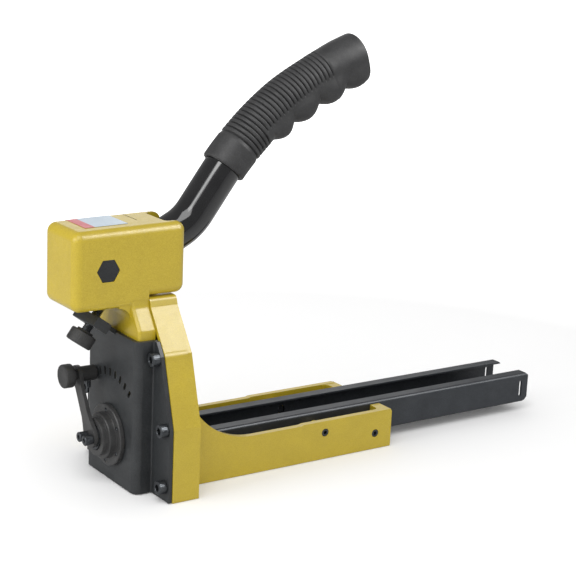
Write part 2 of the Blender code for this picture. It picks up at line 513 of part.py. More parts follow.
for i, s in enumerate((1, -1)):
    place("driver_screw_%d" % (i + 1), lathe([(0.8, 0), (0.8, 2.4), (1.6, 3.3), (2.8, 3.3), (2.8, 1.6), (11.5, 1.6), (11.5, 0)], (0, s * 10.0, 71.0), (1, 0, 0), 14), OXIDE, "driver", smooth=True)
    place("return_spring_%s" % ("far", "near")[i], coil((9.8, s * 15.0, 31.9), (0, 0, 1), 3.5, 0.6, 33.2, 6, 8, 4), SPRING, smooth=True)

# ---- clinchers: curved claws under the carton flap, worked by the crosshead's feet ----
for s, tag in ((1, "far"), (-1, "near")):
    def P(angle, r):
        return (s * (CL_Y + r * math.cos(math.radians(angle))), CL_Z - r * math.sin(math.radians(angle)))
    claw = [P(48.0, CL_R)] + [P(a, CL_R) for a in (38, 28, 18, 8, -2)] + [P(-12, CL_R - 1.2)]
    # spoke back to the hub, then out along the tail to its rounded end
    tail = []
    tc = P(-37.0, CL_TAIL)
    a_dir = math.atan2(tc[1] - CL_Z, tc[0] - s * CL_Y)
    for j in range(7):
        q = a_dir - s * math.pi / 2 + s * math.pi * j / 6
        tail.append((tc[0] + 2.2 * math.cos(q), tc[1] + 2.2 * math.sin(q)))
    hub = []
    for j in range(9):
        q = a_dir + s * math.radians(62) + s * math.radians(236) * j / 8
        hub.append((s * CL_Y + 4.6 * math.cos(q), CL_Z + 4.6 * math.sin(q)))
    inner = [P(a, CL_R - 3.0) for a in (-6, 8, 18, 28, 38)]
    outline = claw + tail + hub + inner
    ob = place("clincher_" + tag, prism(outline, "x", 2.3, 6.0, holes=[circle((s * CL_Y, CL_Z), 2.3, 12)]), STEEL, "clincher_" + tag)
    place("clincher_pin_" + tag, rod((0, s * CL_Y, CL_Z), (1, 0, 0), 0.6, 18.3, 2.15, 14), STEEL, smooth=True)

# ---- handle ----
th2, th1 = math.radians(27.5), math.radians(53.7)
L0, R1, L1, R2 = 11.6, 35.8, 24.2, 201.3
START = (20.0, 150.85)
A1 = R1 * (th1 - th2)


def line_at(s):
    """Centreline of the handle: straight, bend, straight, long curve. Returns the point and its direction."""
    x, z, a = START[0], START[1], th2
    q = min(s, L0)
    x, z = x + q * math.cos(a), z + q * math.sin(a)
    if s > L0:
        q = min(s - L0, A1)
        b = a + q / R1
        x, z = x + R1 * (math.sin(b) - math.sin(a)), z - R1 * (math.cos(b) - math.cos(a))
        a = b
    if s > L0 + A1:
        q = min(s - L0 - A1, L1)
        x, z = x + q * math.cos(a), z + q * math.sin(a)
    if s > L0 + A1 + L1:
        b = a - (s - L0 - A1 - L1) / R2
        x, z = x - R2 * (math.sin(b) - math.sin(a)), z + R2 * (math.cos(b) - math.cos(a))
        a = b
    return Vector((x, 0, z)), a


def ring(bm, s, radius_at, n, shift=0.0):
    c, a = line_at(s)
    tan = Vector((math.cos(a), 0, math.sin(a)))
    nor = Vector((-math.sin(a), 0, math.cos(a)))
    out = []
    for i in range(n):
        q = 2 * math.pi * i / n
        r = radius_at(q)
        out.append(bm.verts.new((c + tan * shift + (nor * math.cos(q) + Vector((0, 1, 0)) * math.sin(q)) * r) * MM))
    return out


def skin(bm, rings, closed):
    n = len(rings[0])
    pairs = list(zip(rings, rings[1:])) + ([(rings[-1], rings[0])] if closed else [])
    for a, b in pairs:
        for i in range(n):
            j = (i + 1) % n
            bm.faces.new([a[i], a[j], b[j], b[i]])
    if not closed:
        bm.faces.new(rings[0])
        bm.faces.new(rings[-1])


def span(lo, hi, n):
    return [lo + (hi - lo) * i / n for i in range(n + 1)]


TUBE_S = [0.5, 11.6] + span(17.0, 28.0, 2) + span(48.0, 172.0, 8)
bm = bmesh.new()
rings = [ring(bm, s, lambda q: TUBE_R, 16) for s in TUBE_S] + [ring(bm, s, lambda q: TUBE_R - TUBE_WALL, 16) for s in reversed(TUBE_S)]
skin(bm, rings, True)
tube = place("handle_tube", bm, GLOSS, "handle", smooth=True)


def table(points, s):
    if s <= points[0][0]:
        return points[0][1]
    for (a, u), (b, v) in zip(points, points[1:]):
        if s <= b:
            k = (s - a) / (b - a)
            k = k * k * (3 - 2 * k)
            return u + (v - u) * k
    return points[-1][1]


UPPER = [(60, 14.3), (115, 14.5), (145, 13.7), (155, 13.7), (170, 14.4), (179.5, 14.6), (181.2, 12.4)]
LOWER = [(60, 14.1), (94, 14.1), (103, 18.5), (114, 14.6), (124.7, 19.9), (138, 15.1), (149.2, 20.5), (161.5, 15.4), (172, 18.9), (179.5, 17.2), (181.2, 14.8)]


def grip_radius(s):
    up, dn = table(UPPER, s), table(LOWER, s)

    def at(q):
        c = math.cos(q)
        return up if c >= 0 else up + (dn - up) * (-c) ** 1.4
    return at


GRIP_S = [60.0, 76.0, 94.0, 98.5, 103.0, 108.5, 114.0, 119.0, 124.7, 131.0, 138.0, 143.5, 149.2, 155.0, 161.5, 166.5, 172.0, 176.0, 179.5, 181.2]
bm = bmesh.new()
rings = [ring(bm, s, grip_radius(s), 16) for s in GRIP_S]
inner = [ring(bm, s, lambda q: TUBE_R + 0.4, 16) for s in [173.0] + list(reversed(span(60.0, 156.0, 7)))]
for a, b in zip(rings, rings[1:]):
    for i in range(16):
        bm.faces.new([a[i], a[(i + 1) % 16], b[(i + 1) % 16], b[i]])
bm.faces.new(rings[-1])
for a, b in zip(inner, inner[1:]):
    for i in range(16):
        bm.faces.new([a[i], a[(i + 1) % 16], b[(i + 1) % 16], b[i]])
bm.faces.new(inner[0])
for i in range(16):
    bm.faces.new([inner[-1][i], inner[-1][(i + 1) % 16], rings[0][(i + 1) % 16], rings[0][i]])
place("rubber_grip", bm, RUBBER, "handle", smooth=True)

# lever block: hub, fork round the roller, tail plugged into the tube
tail_c, tail_a = Vector((START[0], START[1])), th2
td, tn = Vector((math.cos(tail_a), math.sin(tail_a))), Vector((-math.sin(tail_a), math.cos(tail_a)))
pv = Vector(PIVOT)
rise = math.radians(LEVER_UP_DEG)
ad, an = Vector((math.cos(rise), math.sin(rise))), Vector((-math.sin(rise), math.cos(rise)))
pts = [pv + ad * (LEVER_ARM + 2.0) + an * 6.8, pv + ad * 22.0 + an * 7.6]
for j in range(11):
    q = rise + math.radians(88) + math.radians(165) * j / 10
    pts.append(pv + Vector((math.cos(q), math.sin(q))) * 10.0)
# the underside passes just clear of the stop screw at the bottom of the stroke
low_a = math.radians(-STOP_TILT + SWING_DEG)
ld, ln = Vector((math.cos(low_a), math.sin(low_a))), Vector((-math.sin(low_a), math.cos(low_a)))
pts.append(pv + ld * 11.2 - ln * 3.6)
pts.append(pv + ld * 22.5 - ln * 3.6)
pts += [tail_c + td * 1.5 - tn * 5.0, tail_c + td * 10.5 - tn * 5.0, tail_c + td * 10.5 + tn * 5.0, tail_c + td * 1.0 + tn * 5.0]
lever = place("lever_block", prism([(p.x, p.y) for p in pts], "y", -8.4, 8.4), STEEL, "handle")
slot_pts = [pv + ad * 30.0 + an * 16, pv + ad * 30.0 - an * 16, pv + ad * 46.8 - an * 16, pv + ad * 46.8 + an * 16]
cut(lever, prism([(p.x, p.y) for p in slot_pts], "y", -5.1, 5.1), "fork_slot")
cut(lever, rod(ph, (0, 1, 0), -10.0, 10.0, 6.05, 20), "lever_bore")
rp = (ROLL[0], 0, ROLL[1])
cut(lever, rod(rp, (0, 1, 0), -10.0, 10.0, 2.55, 14), "roller_pin_bore")
place("pivot_bush", sleeve(ph, (0, 1, 0), -13.1, 13.1, 4.1, 5.95, 20), BRONZE, "handle", smooth=True)
place("roller_pin", rod(rp, (0, 1, 0), -8.4, 8.4, 2.45, 14), STEEL, "handle", smooth=True)
place("drive_roller", sleeve(rp, (0, 1, 0), -4.8, 4.8, 2.55, 6.0, 20), STEEL, "roller", smooth=True)
cp = tail_c + td * 6.0
cut(lever, rod((cp.x, 0, cp.y), (0, 1, 0), -10.0, 10.0, 2.1, 12), "cross_pin_bore")
cut(tube, rod((cp.x, 0, cp.y), (0, 1, 0), -14.0, 14.0, 2.1, 12), "tube_pin_hole")
place("handle_cross_pin", rod((cp.x, 0, cp.y), (0, 1, 0), -11.9, 11.9, 2.0, 12), STEEL, "handle", smooth=True)

# ---- the origin goes to the middle of the mast's resting face ----
REST_X = (MAST_BACK_X + MAST_DEPTH) / 2
for ob in bpy.data.objects:
    if ob.parent is None:
        ob.location.x -= REST_X * MM
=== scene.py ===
import math

import bmesh
import bpy
from mathutils import Matrix, Vector
from mathutils.geometry import tessellate_polygon


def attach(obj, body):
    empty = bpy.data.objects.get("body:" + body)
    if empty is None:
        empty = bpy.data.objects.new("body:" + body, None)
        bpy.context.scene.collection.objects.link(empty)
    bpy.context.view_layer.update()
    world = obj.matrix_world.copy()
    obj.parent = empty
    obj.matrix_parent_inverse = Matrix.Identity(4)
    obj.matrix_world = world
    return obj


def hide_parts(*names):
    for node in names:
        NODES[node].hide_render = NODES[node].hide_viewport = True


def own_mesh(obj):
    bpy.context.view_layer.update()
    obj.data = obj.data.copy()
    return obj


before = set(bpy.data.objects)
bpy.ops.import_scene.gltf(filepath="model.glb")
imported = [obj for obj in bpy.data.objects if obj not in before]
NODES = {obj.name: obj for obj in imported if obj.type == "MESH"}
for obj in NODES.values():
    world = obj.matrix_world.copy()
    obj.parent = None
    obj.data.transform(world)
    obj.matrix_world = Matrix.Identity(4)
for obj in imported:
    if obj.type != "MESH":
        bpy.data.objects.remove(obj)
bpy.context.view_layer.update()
MM = 0.001

# ------------------------------------------------------------------ dimensions (mm), as in the CAD
MAST_DEPTH = 18.5
RAIL_HALF, RAIL_WALL, RAIL_END, RAIL_TOP, RAIL_FOOT = 33.9, 4.0, 180.8, 25.6, 0.03
RAIL_SCREWS = [(126.2, 18.2), (167.6, 10.9)]
PLATE_SCREWS = [(36.5, 87.0), (48.0, 45.5), (47.5, 9.5)]
BEAR_Y, BEAR_Z = 0.0, 30.0
SLOT_R, SLOT_FIRST, SLOT_PITCH, SLOT_COUNT, SLOT_AT = 40.0, -35.5, 9.3, 9, 7
BOX_X0, BOX_X1, BOX_HALF, BOX_R = -50.3, 25.4, 20.3, 5.8
BOX_Z = (115.4, 120.9, 165.4, 164.2)
BOX_STEP_X = -0.3
REST_X = 16.5  # everything is drawn from the mast's front face, then moved back to the origin of the CAD
PIVOT = (-28.0, 140.0)
TUBE_R, TUBE_WALL = 12.2, 1.8
STOP_P, STOP_D = (-32.8, 97.9), (math.sin(math.radians(36.0)), math.cos(math.radians(36.0)))
D3 = (STOP_D[0], 0.0, STOP_D[1])
CL_Y, CL_Z = 22.2, 15.5
KNOB_A = math.radians(SLOT_FIRST + SLOT_PITCH * SLOT_AT)
KNOB_Y, KNOB_Z = BEAR_Y + SLOT_R * math.sin(KNOB_A), BEAR_Z + SLOT_R * math.cos(KNOB_A)


# ------------------------------------------------------------------ materials
class Nodes:
    def __init__(self, name):
        self.m = bpy.data.materials.new(name)
        self.m.use_nodes = True
        self.t = self.m.node_tree
        self.p = self.t.nodes["Principled BSDF"]
        self.co = self.t.nodes.new("ShaderNodeTexCoord").outputs["Object"]

    def add(self, kind, **sets):
        n = self.t.nodes.new(kind)
        for k, v in sets.items():
            if k.startswith("i_"):
                n.inputs[k[2:].replace("_", " ")].default_value = v
            else:
                setattr(n, k, v)
        return n

    def link(self, a, b):
        self.t.links.new(a, b)

    def noise(self, scale, detail=3.0, rough=0.55, stretch=None, distortion=0.0):
        n = self.add("ShaderNodeTexNoise", i_Scale=scale, i_Detail=detail, i_Roughness=rough, i_Distortion=distortion)
        if stretch:
            mp = self.add("ShaderNodeMapping")
            mp.inputs["Scale"].default_value = stretch
            self.link(self.co, mp.inputs["Vector"])
            self.link(mp.outputs["Vector"], n.inputs["Vector"])
        else:
            self.link(self.co, n.inputs["Vector"])
        return n.outputs["Fac"]

    def voronoi(self, scale):
        n = self.add("ShaderNodeTexVoronoi", i_Scale=scale)
        self.link(self.co, n.inputs["Vector"])
        return n

    def ramp(self, fac, stops):
        r = self.add("ShaderNodeValToRGB")
        el = r.color_ramp.elements
        while len(el) > 1:
            el.remove(el[-1])
        el[0].position = stops[0][0]
        el[0].color = (*stops[0][1], 1.0) if isinstance(stops[0][1], tuple) else (stops[0][1],) * 3 + (1.0,)
        for pos, c in stops[1:]:
            e = el.new(pos)
            e.color = (*c, 1.0) if isinstance(c, tuple) else (c,) * 3 + (1.0,)
        self.link(fac, r.inputs["Fac"])
        return r.outputs["Color"]

    def mix(self, kind, fac, a, b):
        n = self.add("ShaderNodeMix", data_type="RGBA", blend_type=kind)
        n.inputs[0].default_value = fac if isinstance(fac, (int, float)) else 0.5
        if not isinstance(fac, (int, float)):
            self.link(fac, n.inputs[0])
        for sock, v in ((n.inputs[6], a), (n.inputs[7], b)):
            if isinstance(v, tuple):
                sock.default_value = (*v, 1.0)
            else:
                self.link(v, sock)
        return n.outputs[2]

    def math(self, op, a, b):
        n = self.add("ShaderNodeMath", operation=op)
        for sock, v in ((n.inputs[0], a), (n.inputs[1], b)):
            if isinstance(v, (int, float)):
                sock.default_value = v
            else:
                self.link(v, sock)
        return n.outputs[0]

    def bump(self, height, distance, strength=1.0, previous=None):
        n = self.add("ShaderNodeBump", i_Distance=distance, i_Strength=strength)
        self.link(height, n.inputs["Height"])
        if previous is not None:
            self.link(previous, n.inputs["Normal"])
        return n.outputs["Normal"]

    def set(self, **kw):
        for k, v in kw.items():
            sock = self.p.inputs[k.replace("_", " ")]
            if isinstance(v, (int, float)):
                sock.default_value = v
            elif isinstance(v, tuple):
                sock.default_value = (*v, 1.0) if len(v) == 3 else v
            else:
                self.link(v, sock)
        return self


def powder_coat():
    n = Nodes("yellow_powder_coat")
    speck = n.ramp(n.noise(2100.0, 2.0, 0.6), [(0.36, (0.450, 0.325, 0.010)), (0.5, (0.500, 0.368, 0.013)), (0.66, (0.545, 0.412, 0.024))])
    broad = n.ramp(n.noise(55.0, 4.0, 0.6), [(0.3, 0.94), (0.7, 1.03)])
    colour = n.mix("MULTIPLY", 1.0, speck, broad)
    rough = n.ramp(n.noise(300.0, 3.0, 0.6), [(0.3, 0.34), (0.7, 0.47)])
    peel = n.bump(n.noise(620.0, 2.0, 0.5), 0.00004, 0.4)
    fine = n.bump(n.noise(2300.0, 2.0, 0.6), 0.00004, 0.5, peel)
    n.set(Base_Color=colour, Roughness=rough, Normal=fine, Coat_Weight=0.6, Coat_Roughness=0.24, Specular_IOR_Level=0.45)
    return n.m


def coated_steel(name, lo, hi, rough0, rough1, metal=0.35, grain=900.0, coat=0.0):
    n = Nodes(name)
    base = n.ramp(n.noise(70.0, 5.0, 0.6), [(0.3, lo), (0.7, hi)])
    fleck = n.ramp(n.noise(grain * 1.7, 2.0, 0.6), [(0.42, 0.86), (0.60, 1.14)])
    colour = n.mix("MULTIPLY", 1.0, base, fleck)
    scuff = n.noise(38.0, 8.0, 0.72, stretch=(1.0, 1.0, 3.2), distortion=0.6)
    rough = n.ramp(scuff, [(0.3, rough0), (0.72, rough1)])
    tex = n.bump(n.noise(grain, 3.0, 0.6), 0.00005, 0.5)
    n.set(Base_Color=colour, Roughness=rough, Metallic=metal, Normal=tex, Coat_Weight=coat, Coat_Roughness=0.15)
    return n.m


def enamel():
    n = Nodes("gloss_black_enamel")
    base = n.ramp(n.noise(120.0, 4.0, 0.6), [(0.3, (0.004, 0.004, 0.005)), (0.7, (0.008, 0.008, 0.009))])
    rough = n.ramp(n.noise(60.0, 6.0, 0.7, distortion=0.4), [(0.3, 0.08), (0.75, 0.2)])
    wave = n.bump(n.noise(90.0, 2.0, 0.5), 0.00010, 0.25)
    n.set(Base_Color=base, Roughness=rough, Normal=wave, Coat_Weight=0.8, Coat_Roughness=0.05, Specular_IOR_Level=0.6)
    return n.m


def rubber():
    n = Nodes("moulded_grip_rubber")
    base = n.ramp(n.noise(90.0, 5.0, 0.65), [(0.3, (0.027, 0.027, 0.028)), (0.7, (0.045, 0.045, 0.046))])
    dust = n.ramp(n.noise(1400.0, 2.0, 0.6), [(0.5, 0.92), (0.66, 1.25)])
    colour = n.mix("MULTIPLY", 1.0, base, dust)
    rough = n.ramp(n.noise(240.0, 4.0, 0.6), [(0.3, 0.42), (0.7, 0.56)])
    skin = n.bump(n.noise(1500.0, 3.0, 0.65), 0.00007, 0.6)
    n.set(Base_Color=colour, Roughness=rough, Normal=skin, Specular_IOR_Level=0.45)
    return n.m


def oxide():
    n = Nodes("black_oxide")
    base = n.ramp(n.noise(260.0, 5.0, 0.65), [(0.3, (0.055, 0.060, 0.066)), (0.7, (0.105, 0.112, 0.120))])
    rough = n.ramp(n.noise(420.0, 4.0, 0.65), [(0.3, 0.24), (0.7, 0.40)])
    n.set(Base_Color=base, Roughness=rough, Metallic=0.8, Normal=n.bump(n.noise(1700.0, 2.0, 0.6), 0.00003, 0.5))
    return n.m


def bare(name, lo, hi, rough0=0.2, rough1=0.38, stretch=(1.0, 1.0, 22.0)):
    n = Nodes(name)
    base = n.ramp(n.noise(85.0, 5.0, 0.65), [(0.3, lo), (0.7, hi)])
    lines = n.noise(260.0, 4.0, 0.7, stretch=stretch)
    n.set(Base_Color=base, Roughness=n.ramp(lines, [(0.3, rough0), (0.7, rough1)]), Metallic=1.0, Normal=n.bump(lines, 0.00003, 0.5))
    return n.m


def label_film():
    """Plain two-colour film: a red band at the front and pale blue-white behind it, no marks."""
    n = Nodes("blank_label_film")
    sep = n.add("ShaderNodeSeparateXYZ")
    n.link(n.co, sep.inputs[0])
    band = n.math("GREATER_THAN", sep.outputs["X"], -0.0481)
    pale = n.ramp(n.noise(45.0, 3.0, 0.5), [(0.3, (0.44, 0.52, 0.60)), (0.7, (0.52, 0.60, 0.67))])
    red = n.ramp(n.noise(45.0, 3.0, 0.5), [(0.3, (0.53, 0.14, 0.16)), (0.7, (0.60, 0.18, 0.19))])
    colour = n.mix("MIX", band, red, pale)
    n.set(Base_Color=colour, Roughness=n.ramp(n.noise(300.0, 3.0, 0.6), [(0.3, 0.34), (0.7, 0.46)]))
    return n.m


YELLOW = powder_coat()
BLACK = coated_steel("black_coated_sheet", (0.022, 0.024, 0.026), (0.032, 0.035, 0.037), 0.36, 0.46, 0.0)
TRACK = coated_steel("blued_track_sheet", (0.030, 0.034, 0.040), (0.044, 0.049, 0.056), 0.32, 0.44, 0.25)
BEARING = coated_steel("black_coated_bearing", (0.036, 0.036, 0.036), (0.052, 0.052, 0.052), 0.28, 0.42, 0.1)
KNOB = coated_steel("black_knob", (0.028, 0.028, 0.028), (0.042, 0.042, 0.042), 0.42, 0.58, 0.1, 1300.0)
GLOSS = enamel()
RUBBER = rubber()
OXIDE = oxide()
BOLT = coated_steel("dark_bolt_oxide", (0.024, 0.026, 0.028), (0.040, 0.043, 0.045), 0.3, 0.44, 0.3)
STEEL = bare("ground_steel", (0.42, 0.43, 0.44), (0.58, 0.59, 0.60))
BRONZE = bare("bearing_bronze", (0.40, 0.25, 0.09), (0.52, 0.34, 0.14), 0.25, 0.42, (1.0, 18.0, 1.0))
SPRING = bare("spring_wire", (0.22, 0.22, 0.23), (0.34, 0.34, 0.35), 0.22, 0.36, (1.0, 1.0, 4.0))
LABEL = label_film()


# ------------------------------------------------------------------ geometry helpers
def put(axis, a, b, h):
    return {"x": (h, a, b), "y": (a, h, b), "z": (a, b, h)}[axis]


def prism(outline, axis, lo, hi, holes=()):
    loops = [list(outline)] + [list(h) for h in holes]
    pts = [p for l in loops for p in l]
    bm = bmesh.new()
    a = [bm.verts.new(Vector(put(axis, p[0], p[1], lo)) * MM) for p in pts]
    b = [bm.verts.new(Vector(put(axis, p[0], p[1], hi)) * MM) for p in pts]
    if len(loops) == 1:
        bm.faces.new(a)
        bm.faces.new(b)
    else:
        for t in tessellate_polygon([[Vector((p[0], p[1], 0)) for p in l] for l in loops]):
            bm.faces.new([a[i] for i in t])
            bm.faces.new([b[i] for i in t])
    k = 0
    for l in loops:
        n = len(l)
        for i in range(n):
            j = (i + 1) % n
            bm.faces.new([a[k + i], a[k + j], b[k + j], b[k + i]])
        k += n
    return bm


def block(x0, x1, y0, y1, z0, z1):
    return prism([(y0, z0), (y1, z0), (y1, z1), (y0, z1)], "x", x0, x1)


def circle(c, r, n=32, phase=0.0):
    return [(c[0] + r * math.cos(phase + 2 * math.pi * i / n), c[1] + r * math.sin(phase + 2 * math.pi * i / n)) for i in range(n)]


def arc(c, r, a0, a1, n):
    return [(c[0] + r * math.cos(math.radians(a0 + (a1 - a0) * i / n)), c[1] + r * math.sin(math.radians(a0 + (a1 - a0) * i / n))) for i in range(n + 1)]


def rounded(points, radius, n=6):
    out = []
    m = len(points)
    for i, p in enumerate(points):
        r = radius[i] if isinstance(radius, (list, tuple)) else radius
        if r <= 0:
            out.append(p)
            continue
        p0, p1, p2 = Vector(points[i - 1]), Vector(p), Vector(points[(i + 1) % m])
        u, v = (p0 - p1).normalized(), (p2 - p1).normalized()
        half = math.acos(max(-1, min(1, u.dot(v)))) / 2
        d = r / math.tan(half)
        c = p1 + (u + v).normalized() * (r / math.sin(half))
        s, e = p1 + u * d - c, p1 + v * d - c
        a0 = math.atan2(s.y, s.x)
        da = math.atan2(e.y, e.x) - a0
        while da > math.pi:
            da -= 2 * math.pi
        while da < -math.pi:
            da += 2 * math.pi
        out += [(c.x + r * math.cos(a0 + da * k / n), c.y + r * math.sin(a0 + da * k / n)) for k in range(n + 1)]
    return out


def basis(direction):
    d = Vector(direction).normalized()
    side = Vector((0, 1, 0)) if abs(d.y) < 0.9 else Vector((0, 0, 1))
    u = (side - d * side.dot(d)).normalized()
    return d, u, d.cross(u)


def lathe(profile, origin, direction, n=64, phase=0.0, radius=None):
    """Turns a closed (height, radius) loop; radius(angle, height, r) may shape a knurl."""
    d, u, v = basis(direction)
    o = Vector(origin)
    bm = bmesh.new()
    rings = []
    for h, r in profile:
        if r < 1e-9:
            rings.append([bm.verts.new((o + d * h) * MM)])
            continue
        row = []
        for i in range(n):
            q = phase + 2 * math.pi * i / n
            rr = radius(q, h, r) if radius else r
            row.append(bm.verts.new((o + d * h + (u * math.cos(q) + v * math.sin(q)) * rr) * MM))
        rings.append(row)
    for k in range(len(rings)):
        a, b = rings[k], rings[(k + 1) % len(rings)]
        if len(a) == 1 and len(b) == 1:
            continue
        for i in range(n):
            j = (i + 1) % n
            if len(a) == 1:
                bm.faces.new([a[0], b[i], b[j]])
            elif len(b) == 1:
                bm.faces.new([a[i], a[j], b[0]])
            else:
                bm.faces.new([a[i], a[j], b[j], b[i]])
    return bm


def rod(origin, direction, h0, h1, r, n=48, chamfer=0.0, phase=0.0):
    c = chamfer
    prof = [(h0, 0), (h0, r - c), (h0 + c, r), (h1 - c, r), (h1, r - c), (h1, 0)] if c else [(h0, 0), (h0, r), (h1, r), (h1, 0)]
    return lathe(prof, origin, direction, n, phase)


def as_object(name, bm):
    bmesh.ops.remove_doubles(bm, verts=bm.verts, dist=1e-6)
    bmesh.ops.recalc_face_normals(bm, faces=bm.faces)
    me = bpy.data.meshes.new(name)
    bm.to_mesh(me)
    bm.free()
    ob = bpy.data.objects.new(name, me)
    bpy.context.scene.collection.objects.link(ob)
    return ob


def bake_modifiers(ob):
    bpy.context.view_layer.update()
    dg = bpy.context.evaluated_depsgraph_get()
    me = bpy.data.meshes.new_from_object(ob.evaluated_get(dg))
    old = ob.data
    ob.modifiers.clear()
    ob.data = me
    me.name = ob.name
    bpy.data.meshes.remove(old)


def combine(ob, steps):
    """Booleans done one after another, and their tools removed."""
    tools = []
    for k, (op, bm) in enumerate(steps):
        t = as_object("tool_%d" % k, bm)
        tools.append(t)
        m = ob.modifiers.new("b%d" % k, "BOOLEAN")
        m.operation, m.solver, m.object = op, "EXACT", t
    if tools:
        bake_modifiers(ob)
    for t in tools:
        me = t.data
        bpy.data.objects.remove(t, do_unlink=True)
        bpy.data.meshes.remove(me)
    return ob


def soften(ob, width, segments=3, angle=32.0):
    """Cleans coplanar faces, then rounds the edges left sharp."""
    bm = bmesh.new()
    bm.from_mesh(ob.data)
    bmesh.ops.remove_doubles(bm, verts=bm.verts, dist=2e-6)
    bmesh.ops.dissolve_limit(bm, angle_limit=math.radians(0.6), verts=bm.verts, edges=bm.edges, use_dissolve_boundaries=False)
    bmesh.ops.dissolve_degenerate(bm, edges=bm.edges, dist=2e-6)
    bm.to_mesh(ob.data)
    bm.free()
    if width:
        m = ob.modifiers.new("round", "BEVEL")
        m.width, m.segments, m.limit_method, m.angle_limit = width * MM, segments, "ANGLE", math.radians(angle)
        m.use_clamp_overlap, m.miter_outer = True, "MITER_ARC"
        m.harden_normals = False
        bake_modifiers(ob)
    return ob


def finish(ob, mat, body, stands_for=(), sharp=38.0, weighted=True):
    ob.data.transform(Matrix.Translation((-REST_X * MM, 0, 0)))
    ob.data.materials.clear()
    ob.data.materials.append(mat)
    ob.data.shade_smooth()
    ob.data.set_sharp_from_angle(angle=math.radians(sharp))
    if weighted:
        w = ob.modifiers.new("normals", "WEIGHTED_NORMAL")
        w.keep_sharp = True
    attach(ob, body)
    if stands_for:
        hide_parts(*stands_for)
    return ob


# ------------------------------------------------------------------ mast, rails
def build_frame():
    half = [(53.4, 0.0), (53.4, 46.3), (40.5, 89.4), (22.4, 115.0), (20.4, 120.3)]
    outline = half + [(-y, z) for y, z in reversed(half)]
    radii = [0, 2.0, 3.0, 2.0, 3.0, 3.0, 2.0, 3.0, 2.0, 0]
    ob = as_object("mast_and_rails", prism(rounded(outline, radii, 5), "x", 0.0, MAST_DEPTH))
    inner = [(50.3, -1.0), (50.3, 45.8), (37.4, 88.7), (21.0, 112.0)]
    cavity = inner + [(-y, z) for y, z in reversed(inner)]
    steps = [("DIFFERENCE", prism(cavity, "x", -1.0, 14.5)),
             ("DIFFERENCE", block(-1.0, MAST_DEPTH + 1, -13.6, 13.6, 105.0, 125.0)),
             ("UNION", block(8.0, 15.0, -20.0, 20.0, 28.3, 31.0))]
    side = [(MAST_DEPTH - 0.6, RAIL_FOOT), (RAIL_END, RAIL_FOOT), (RAIL_END, 26.2), (109.0, 26.2), (107.0, RAIL_TOP)] + list(reversed(arc((70.0, 78.0), 52.4, 190.8, 270.0, 28)))
    side[-1] = (MAST_DEPTH - 0.6, side[-1][1])
    side = side[:2] + rounded([side[1], side[2], side[3]], [0, 2.2, 0], 4)[1:-1] + side[3:]
    for s in (1, -1):
        y0, y1 = sorted((s * (RAIL_HALF - RAIL_WALL), s * RAIL_HALF))
        steps.append(("UNION", prism(side, "y", y0, y1)))
        lug = [(172.8, 21.0), (172.8, 19.8), (RAIL_END - 0.3, 19.8), (RAIL_END - 0.3, RAIL_HALF - 0.6), (168.5, RAIL_HALF - 0.6), (168.5, 29.0)]
        lug = [(168.0, 29.5)] + arc((168.8, 25.9), 3.9, 90.0, 20.0, 5)[1:] + [(173.0, 19.8), (RAIL_END - 0.3, 19.8), (RAIL_END - 0.3, RAIL_HALF - 0.6), (168.0, RAIL_HALF - 0.6)]
        steps.append(("UNION", prism([(x, s * y) for x, y in lug], "z", 0.3, 25.9)))
        (xa, za), (xb, zb) = RAIL_SCREWS
        steps.append(("UNION", rod((xa, 0, za), (0, s, 0), 20.0, RAIL_HALF - 1.0, 4.3, 32)))
        steps.append(("UNION", block(xb - 5.5, 173.6, *sorted((s * 20.3, s * (RAIL_HALF - 1.0))), 4.5, zb + 5.5)))
        for y, z in PLATE_SCREWS:
            steps.append(("UNION", rod((0, s * y, z), (1, 0, 0), 0.02, 15.5, 5.0, 32)))
    for s in (1, -1):
        for x, z in RAIL_SCREWS:
            steps.append(("DIFFERENCE", rod((x, 0, z), (0, s, 0), 15.0, 40.0, 2.75, 32)))
        for y, z in PLATE_SCREWS:
            steps.append(("DIFFERENCE", rod((0, s * y, z), (1, 0, 0), -1.0, 11.0, 2.65, 24)))
        steps.append(("DIFFERENCE", rod((0, s * CL_Y, CL_Z), (1, 0, 0), 10.0, 20.0, 2.35, 24)))
    steps.append(("DIFFERENCE", block(12.0, MAST_DEPTH + 1, -19.8, 19.8, 5.9, 28.1)))
    combine(ob, steps)
    soften(ob, 0.75, 3, 30.0)
    return finish(ob, YELLOW, "frame", ["frame_casting"])


